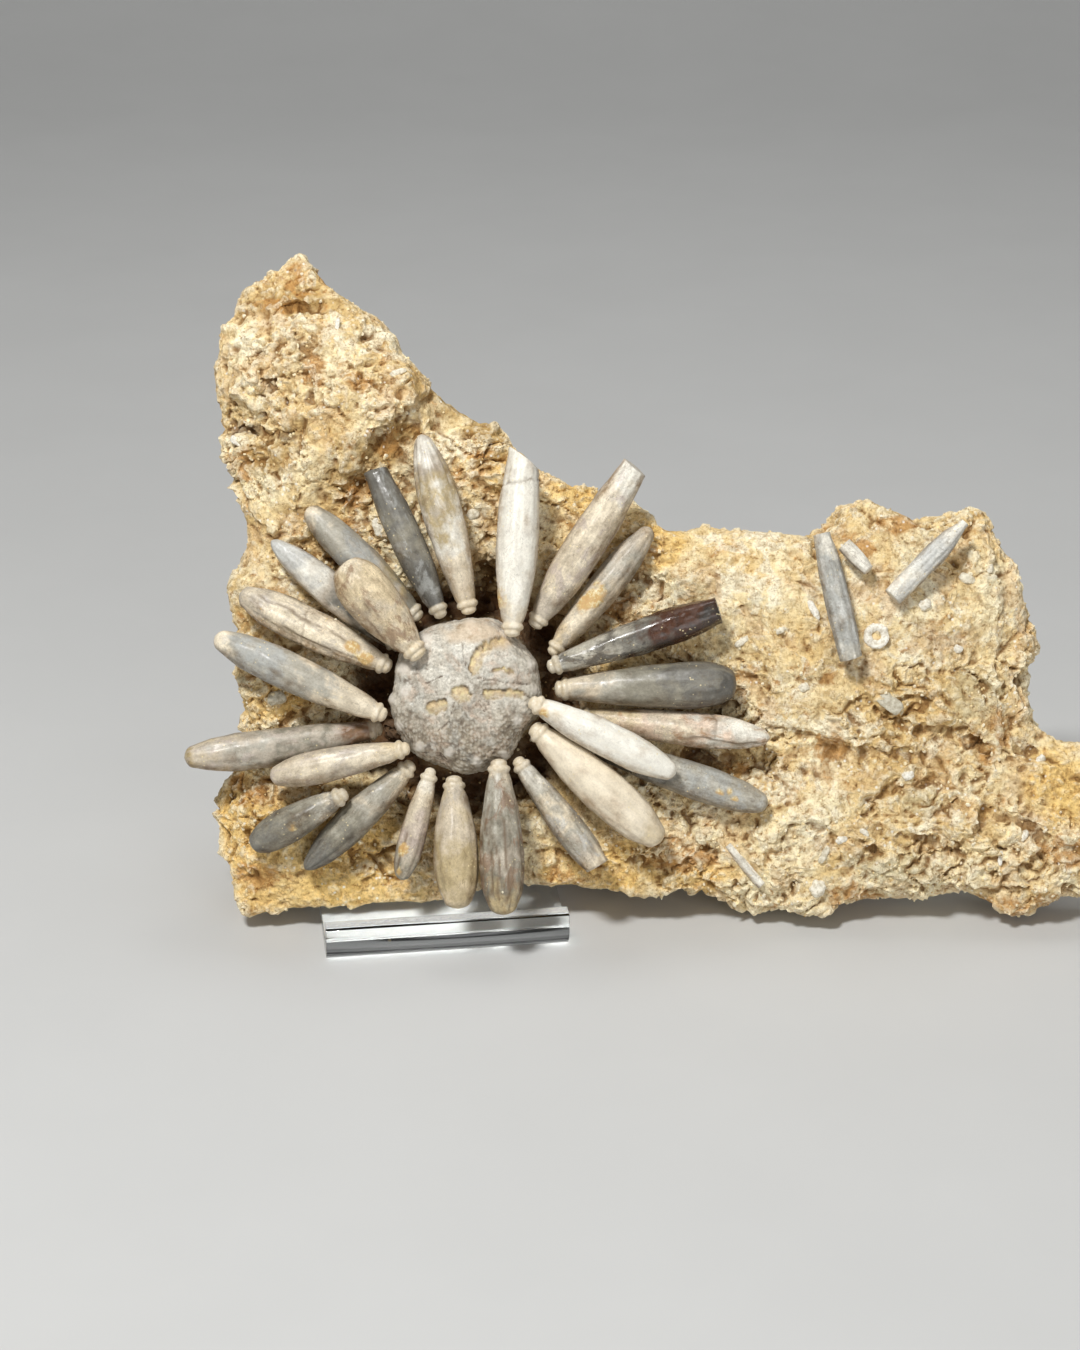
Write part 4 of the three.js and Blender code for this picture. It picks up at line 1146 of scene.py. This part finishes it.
def limestone_finish():
    """Broken yellow limestone: cream and ochre patches, rust and painted shade in the hollows, painted
    highlights on the ridges and white crumbs of shell.
    """
    f = Finish("broken_limestone", 0.92)
    f.shader.inputs["Specular IOR Level"].default_value = 0.3
    broad = f.noise(24, 4, 0.6, distortion=0.4)
    f.hue = f.ramp(broad, (0.40, (0.74, 0.54, 0.25)), (0.50, (0.86, 0.69, 0.39)), (0.60, (0.94, 0.83, 0.56)))
    middle = f.noise(5.5, 5, 0.68, distortion=0.7)
    pale = f.sum(middle, f.product(f.attribute("pale"), 0.12))
    f.lay(f.ramp(pale, (0.53, 0.0), (0.63, 0.8)), (0.95, 0.88, 0.68))
    blush = f.noise(11, 4, 0.65, f.stretched(f.place, (1, 1, 1), (0.11, 0.23, 0.31)), 0.6)
    f.lay(f.ramp(blush, (0.50, 0.0), (0.60, 0.55)), (0.68, 0.47, 0.25))
    f.lay_marked("golden", 0.75, (0.86, 0.58, 0.19))
    # Partly tan stone and partly painted shade: on the tower's facet that turns from the lamps, and at the
    # foot of its big ledge.
    f.lay_marked("tan", 0.85, (0.50, 0.33, 0.12))
    rust = f.noise(6.5, 5, 0.72, f.stretched(f.place, (1, 1, 1.25)), 0.9)
    rust = f.sum(rust, f.product(f.attribute("rusty"), 0.15))
    f.lay(f.ramp(rust, (0.57, 0.0), (0.69, 0.85)), (0.52, 0.27, 0.08))
    f.lay_marked("olive", 0.5, (0.56, 0.49, 0.31))
    # Rust brown and painted shade in the hollows, and a painted highlight on the ridges.
    hollow = f.attribute("hollow")
    f.lay(f.ramp(hollow, (0.56, 0.0), (0.90, 0.85)), (0.27, 0.14, 0.04))
    f.lay(f.ramp(hollow, (0.06, 0.55), (0.40, 0.0)), (0.95, 0.87, 0.66))
    coarse = f.noise(2.3, 4, 0.72, distortion=0.4)
    grain = f.noise(0.95, 4, 0.75)
    dim, plain, bright = (0.62, 0.54, 0.43), (1, 1, 1), (1.16, 1.16, 1.14)
    # These noises make the bumps too: they darken the bumps' low places as painted shade and lighten their
    # tops as a painted highlight.
    f.shade(0.7, coarse, (0.36, dim), (0.50, plain), (0.64, bright))
    f.shade(0.6, grain, (0.35, dim), (0.50, plain), (0.65, bright))
    f.shade(0.8, f.noise(1.5, 5, 0.8, distortion=0.3), (0.37, (0.42, 0.28, 0.15)), (0.45, plain))
    lines = f.veins(f.noise(7, 5, 0.62, distortion=0.5), 0.010)
    f.lay(f.product(lines, f.ramp(middle, (0.46, 0.0), (0.56, 0.6))), (0.26, 0.15, 0.06))
    crumbs = f.ramp(f.cells(2.2), (0.12, 1.0), (0.22, 0.0))
    crumb_share = f.product(crumbs, f.ramp(f.noise(8, 3), (0.52, 0.0), (0.60, 0.8)))
    f.lay(crumb_share, (0.94, 0.90, 0.79))
    # Painted shade, near black, in the gap round the shell, under the spines near it and in a few hollows.
    f.lay_marked("painted_shade", 0.93, f.mix(coarse, (0.025, 0.012, 0.006), (0.15, 0.06, 0.02)))
    f.coloured()
    flakes = f.cells(1.6, f.stretched(f.place, (1, 1, 1.3)))
    f.relief((coarse, 0.55, 0.9), (flakes, 0.22, 0.5), (grain, 0.55, 0.4))
    return f.material


block = block_mesh()
block.materials.clear()
block.materials.append(limestone_finish())
new_piece("limestone_face", block, ["limestone_block"])

# ---------------------------------------------------------------- loose grains


def strewn(name, ground, per_square_metre, smallest, largest, seed, material):
    """Small broken grains over a mesh, by Geometry Nodes: as many as its strew attribute calls for."""
    tree = bpy.data.node_groups.new(name + "_nodes", "GeometryNodeTree")
    tree.interface.new_socket("Ground", in_out="INPUT", socket_type="NodeSocketGeometry")
    settings = {
        tree.interface.new_socket(label, in_out="INPUT", socket_type=kind).identifier: value
        for label, kind, value in (
            ("Grains per square metre", "NodeSocketFloat", per_square_metre),
            ("Smallest", "NodeSocketFloat", smallest * MM),
            ("Largest", "NodeSocketFloat", largest * MM),
            ("Seed", "NodeSocketInt", seed),
        )
    }
    tree.interface.new_socket("Grains", in_out="OUTPUT", socket_type="NodeSocketGeometry")

    def node(kind, **values):
        made = tree.nodes.new(kind)
        for key, value in values.items():
            setattr(made, key, value)
        return made

    def socket(sockets, label):
        return next(s for s in sockets if s.name == label and s.enabled)

    def join(source, label, target, into):
        tree.links.new(socket(source.outputs, label), socket(target.inputs, into))

    given = node("NodeGroupInput")
    strew = node("GeometryNodeInputNamedAttribute", data_type="FLOAT")
    strew.inputs["Name"].default_value = "strew"
    density = node("ShaderNodeMath", operation="MULTIPLY")
    tree.links.new(socket(strew.outputs, "Attribute"), density.inputs[0])
    tree.links.new(given.outputs["Grains per square metre"], density.inputs[1])
    spots = node("GeometryNodeDistributePointsOnFaces", distribute_method="RANDOM")
    join(given, "Ground", spots, "Mesh")
    join(density, "Value", spots, "Density")
    join(given, "Seed", spots, "Seed")
    grain = node("GeometryNodeMeshIcoSphere")
    grain.inputs["Radius"].default_value = 0.5
    grain.inputs["Subdivisions"].default_value = 1
    turn = node("FunctionNodeRandomValue", data_type="FLOAT_VECTOR")
    socket(turn.inputs, "Max").default_value = (2 * math.pi,) * 3
    shape = node("FunctionNodeRandomValue", data_type="FLOAT_VECTOR")
    socket(shape.inputs, "Min").default_value = (0.55, 0.55, 0.35)
    socket(shape.inputs, "Max").default_value = (1.25, 1.0, 0.8)
    size = node("FunctionNodeRandomValue", data_type="FLOAT")
    join(given, "Smallest", size, "Min")
    join(given, "Largest", size, "Max")
    scale = node("ShaderNodeVectorMath", operation="SCALE")
    join(shape, "Value", scale, "Vector")
    join(size, "Value", scale, "Scale")
    place = node("GeometryNodeInstanceOnPoints")
    join(spots, "Points", place, "Points")
    join(grain, "Mesh", place, "Instance")
    join(turn, "Value", place, "Rotation")
    join(scale, "Vector", place, "Scale")
    hue = node("FunctionNodeRandomValue", data_type="FLOAT")
    keep_hue = node("GeometryNodeStoreNamedAttribute", data_type="FLOAT", domain="INSTANCE")
    keep_hue.inputs["Name"].default_value = "hue"
    join(place, "Instances", keep_hue, "Geometry")
    join(hue, "Value", keep_hue, "Value")
    solid = node("GeometryNodeRealizeInstances")
    join(keep_hue, "Geometry", solid, "Geometry")
    painted = node("GeometryNodeSetMaterial")
    painted.inputs["Material"].default_value = material
    join(solid, "Geometry", painted, "Geometry")
    result = node("NodeGroupOutput")
    join(painted, "Geometry", result, "Grains")

    made = new_object(name, ground.copy())
    modifier = made.modifiers.new("strewn", "NODES")
    modifier.node_group = tree
    for identifier, value in settings.items():
        modifier[identifier] = value
    return bake_modifiers(made)


def grain_finish(name, *stops):
    f = Finish(name, 0.9)
    f.hue = f.ramp(f.attribute("hue"), *stops)
    f.shade(0.7, f.noise(0.6, 3, 0.7), (0.38, (0.66, 0.62, 0.55)), (0.62, (1.2, 1.2, 1.2)))
    f.coloured()
    f.relief((f.noise(0.4, 3, 0.7), 0.5, 0.2))
    return f.material


stone_grit = grain_finish(
    "grit",
    (0.10, (0.50, 0.30, 0.10)),
    (0.35, (0.78, 0.59, 0.29)),
    (0.75, (0.88, 0.74, 0.45)),
    (0.95, (0.92, 0.84, 0.64)),
)
clay_crumbs = grain_finish(
    "crumbs", (0.2, (0.72, 0.52, 0.24)), (0.5, (0.86, 0.74, 0.46)), (0.9, (0.92, 0.86, 0.68))
)
new_piece("stone_grit", strewn("stone_grit", block, 90000, 0.5, 1.5, 3, stone_grit))
DUSTY = (4, 9, 11, 12, 14, 16, 18, 20, 22)  # the spines with crumbs of clay on them
dusty = joined("dusty_spines", [spine_meshes[f"spine_{k:02d}"] for k in DUSTY])
new_piece("clay_crumbs", strewn("clay_crumbs", dusty, 22000, 0.4, 1.1, 5, clay_crumbs))

# ---------------------------------------------------------------- small fossils in the face

block_points = to_face(mesh_points(block))
block_front = (mesh_normals(block) @ AXES.T)[:, 2] > 0.2

# Bits of shell and spine: where, length, width, thickness, which way the length runs, and how boxy they are.
BITS = [
    (-50.0, -0.8, 5.0, 3.6, 2.2, 15, 2.4), (72.0, 14.0, 4.4, 1.8, 1.2, 35, 2.6),
    (98.0, -38.0, 3.2, 2.0, 1.2, 20, 2.4), (110.6, -2.0, 7.4, 4.0, 1.5, -38, 5.0),
    (92.0, -51.0, 4.6, 3.6, 2.6, 70, 2.4), (115.5, -21.2, 3.2, 2.2, 1.6, 10, 2.2),
    (131.0, 30.5, 4.6, 2.6, 1.6, -25, 2.4), (119.5, 23.6, 3.6, 3.0, 1.8, 20, 2.2),
    (90.4, 22.2, 5.6, 1.9, 1.2, -62, 3.0), (88.0, 2.0, 2.8, 2.2, 1.2, 30, 2.6),
    (150.8, -17.0, 2.8, 2.0, 1.4, 45, 2.4), (93.6, -42.0, 5.0, 1.8, 1.2, 62, 3.2),
    (-23.4, 43.8, 5.4, 2.8, 1.4, 110, 2.6), (-60.0, 66.6, 5.0, 2.4, 1.6, -20, 2.4),
    (137.0, 33.0, 2.6, 1.6, 1.0, 80, 2.4), (146.0, -37.0, 3.4, 1.8, 1.4, 60, 2.4),
    (140.0, -43.0, 4.0, 1.2, 1.0, 84, 2.6), (82.0, 17.0, 3.2, 1.6, 1.0, 30, 2.4),
    (128.5, 12.0, 2.6, 2.2, 1.2, -10, 2.4), (68.0, -27.0, 3.0, 1.6, 1.2, -30, 2.4),
    (-18.0, 84.0, 4.6, 1.6, 1.0, 18, 2.6), (-34.0, 96.0, 5.0, 1.2, 0.9, 80, 2.8),
    (1.5, 47.5, 3.6, 3.0, 1.4, 40, 2.4), (104.0, -36.0, 3.0, 1.6, 1.0, -40, 2.4),
]
OSSICLE = dict(at=(106.8, 15.4), across=6.8, bore=2.4, thick=1.3)  # the ring-shaped plate of a sea lily


def face_level(u, v, reach):
    """The block's level round a place on its face."""
    near = block_front & (np.hypot(block_points[:, 0] - u, block_points[:, 1] - v) < reach)
    return block_points[near, 2].mean()


def bit_mesh(k, u, v, length, width, thick, degrees, boxy):
    """A small worn fragment, lying half sunk in the face."""
    rows, columns = 15, 22
    tilt, turn = round_grid(np.linspace(-1.48, 1.48, rows), columns)
    ball = np.vstack([round_points(np.cos(tilt), turn, np.sin(tilt)), [0, 0, -1], [0, 0, 1]])
    ball /= (np.sum(np.abs(ball) ** boxy, axis=1) ** (1 / boxy))[:, None]
    points = ball * (length / 2, width / 2, thick / 2)
    rough = clouds(points + 20 * k, 0.40 * width, 3, 400 + k)[:, None]
    points += 0.8 / boxy**2 * width * ball * rough * (1, 1, 0.7)
    angle = math.radians(degrees)
    c, s = math.cos(angle), math.sin(angle)
    points = points @ np.array([[c, s, 0], [-s, c, 0], [0, 0, 1]])
    points += (u, v, face_level(u, v, 0.5 * length) + (0.12 if boxy < 4 else 0.55) * thick)
    mesh = make_mesh("bit", from_face(points), grid_faces(rows, columns))
    mark(mesh, "tone", np.full(len(points), 0.1 if boxy > 4 else 0.35 + 0.6 * (0.37 * k % 1)))
    return mesh


def ossicle_mesh():
    """A ring with a raised rim."""
    u, v = OSSICLE["at"]
    middle, half = (OSSICLE["across"] + OSSICLE["bore"]) / 4, (OSSICLE["across"] - OSSICLE["bore"]) / 4
    around, section = 48, 14
    turn, spin = round_grid(np.linspace(0, 2 * math.pi, around, endpoint=False), section)
    radius = middle + half * np.cos(spin)
    rise = OSSICLE["thick"] / 2 * np.sin(spin) * (1 + 0.35 * np.cos(spin))
    points = round_points(radius, turn, rise)
    points += 0.22 * clouds(points, 1.4, 3, 450)[:, None] * (1, 1, 0.8)
    points += (u, v, face_level(u, v, 3) + 0.35 * OSSICLE["thick"])
    faces = []
    for i in range(around):
        for j in range(section):
            i2, j2 = (i + 1) % around, (j + 1) % section
            faces.append((i * section + j, i2 * section + j, i2 * section + j2, i * section + j2))
    mesh = make_mesh("ossicle", from_face(points), faces)
    mark(mesh, "tone", np.full(len(points), 0.8))
    return mesh


def bit_finish():
    f = Finish("pale_fragments", 0.7)
    tones = (0.1, (0.60, 0.56, 0.45)), (0.5, (0.80, 0.74, 0.59)), (0.9, (0.93, 0.90, 0.82))
    f.hue = f.ramp(f.attribute("tone"), *tones)
    fine = f.noise(0.9, 4, 0.7)
    f.shade(0.8, fine, (0.36, (0.60, 0.54, 0.44)), (0.60, (1.12, 1.12, 1.12)))
    f.coloured()
    f.relief((fine, 0.5, 0.3))
    return f.material


fossils = joined("small_fossils", [bit_mesh(k, *bit) for k, bit in enumerate(BITS)] + [ossicle_mesh()])
fossils.materials.append(bit_finish())
set_smooth(fossils, True)
new_piece("small_fossils", fossils)

# ---------------------------------------------------------------- the easel


def easel_finish():
    f = Finish("clear_acrylic", 0.03, Transmission_Weight=1.0, IOR=1.49)
    f.shader.inputs["Base Color"].default_value = (0.985, 0.993, 0.995, 1)
    # Lamps shine through it, so that what stands behind and under it isn't dark.
    path = f.tree.nodes.new("ShaderNodeLightPath")
    through = f.tree.nodes.new("ShaderNodeBsdfTransparent")
    through.inputs["Color"].default_value = (0.90, 0.92, 0.925, 1)
    choice = f.tree.nodes.new("ShaderNodeMixShader")
    f.put(choice.inputs["Fac"], path.outputs["Is Shadow Ray"])
    f.put(choice.inputs[1], f.shader.outputs["BSDF"])
    f.put(choice.inputs[2], through.outputs["BSDF"])
    f.put(f.tree.nodes["Material Output"].inputs["Surface"], choice.outputs["Shader"])
    return f.material


def easel_mesh():
    made = welded("easel_start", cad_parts["easel"].data.copy())
    edge = made.modifiers.new("edge", "BEVEL")
    edge.width = 0.35 * MM
    edge.segments = 2
    edge.limit_method = "ANGLE"
    edge.angle_limit = math.radians(50)
    mesh = bake_modifiers(made)
    set_smooth(mesh, True)
    mesh.set_sharp_from_angle(angle=math.radians(35))
    return mesh


mesh = easel_mesh()
mesh.materials.clear()
mesh.materials.append(easel_finish())
new_piece("easel_acrylic", mesh, ["easel"])

# ---------------------------------------------------------------- the table, the lights and the camera

VIEW_DISTANCE = 0.83
VIEW_RISE = math.radians(25)
VIEW_LENS = 85.1
VIEW_AIM = (19.0, 5.2)  # where the camera looks, right of the shell's middle and above it


def stage_finish():
    f = Finish("pale_paper", 0.9)
    f.hue = f.mix(f.noise(60, 3), (0.56, 0.56, 0.55), (0.60, 0.60, 0.59))
    f.coloured()
    return f.material


def backdrop():
    """A floor that curves up into a wall, far behind."""
    wide, near, far, high, bend = 3.0, -2.0, 1.6, 2.2, 0.8
    profile = [(near, 0.0), (far - bend, 0.0)]
    turns = 14
    for k in range(1, turns + 1):
        angle = math.pi / 2 * k / turns
        profile.append((far - bend + bend * math.sin(angle), bend - bend * math.cos(angle)))
    profile.append((far, high))
    points = np.array([(x, y, z - 0.0003) for y, z in profile for x in (-wide, wide)])
    faces = [(2 * i, 2 * i + 1, 2 * i + 3, 2 * i + 2) for i in range(len(profile) - 1)]
    mesh = make_mesh("backdrop", points, faces)
    mesh.materials.append(stage_finish())
    new_object("backdrop", mesh)


def soft_light(name, place, target, size, power, colour=(1, 1, 1)):
    data = bpy.data.lights.new(name, "AREA")
    data.shape = "DISK"
    data.size = size
    data.energy = power
    data.color = colour
    lamp = new_object(name, data)
    lamp.location = place
    away = lamp.location - Vector(target)
    lamp.rotation_euler = away.to_track_quat("Z", "Y").to_euler()


def lights():
    target = (0.0, 0.0, 0.07)
    soft_light("key", (-0.34, -0.58, 1.05), target, 0.20, 11.8, (1.0, 1.0, 0.99))
    soft_light("fill", (0.5, -1.2, 0.40), target, 0.8, 3.6, (0.98, 0.99, 1.0))
    soft_light("top", (0.1, 0.35, 1.1), target, 0.5, 2.2, (1.0, 1.0, 1.0))
    world = bpy.data.worlds.new("soft_room")
    world.use_nodes = True
    world.node_tree.nodes["Background"].inputs["Color"].default_value = (0.97, 0.985, 1.0, 1)
    world.node_tree.nodes["Background"].inputs["Strength"].default_value = 0.18
    bpy.context.scene.world = world


def camera():
    back = np.array([0, -math.cos(VIEW_RISE), math.sin(VIEW_RISE)])
    up = np.array([0, math.sin(VIEW_RISE), math.cos(VIEW_RISE)])
    aim = ORIGIN + MM * (VIEW_AIM[0] * U + VIEW_AIM[1] * up)
    data = bpy.data.cameras.new("view")
    data.lens = VIEW_LENS
    made = new_object("view", data)
    made.location = aim + VIEW_DISTANCE * back
    made.rotation_euler = (math.pi / 2 - VIEW_RISE, 0, 0)
    bpy.context.scene.camera = made


backdrop()
lights()
camera()
bpy.context.scene.view_settings.view_transform = "Standard"
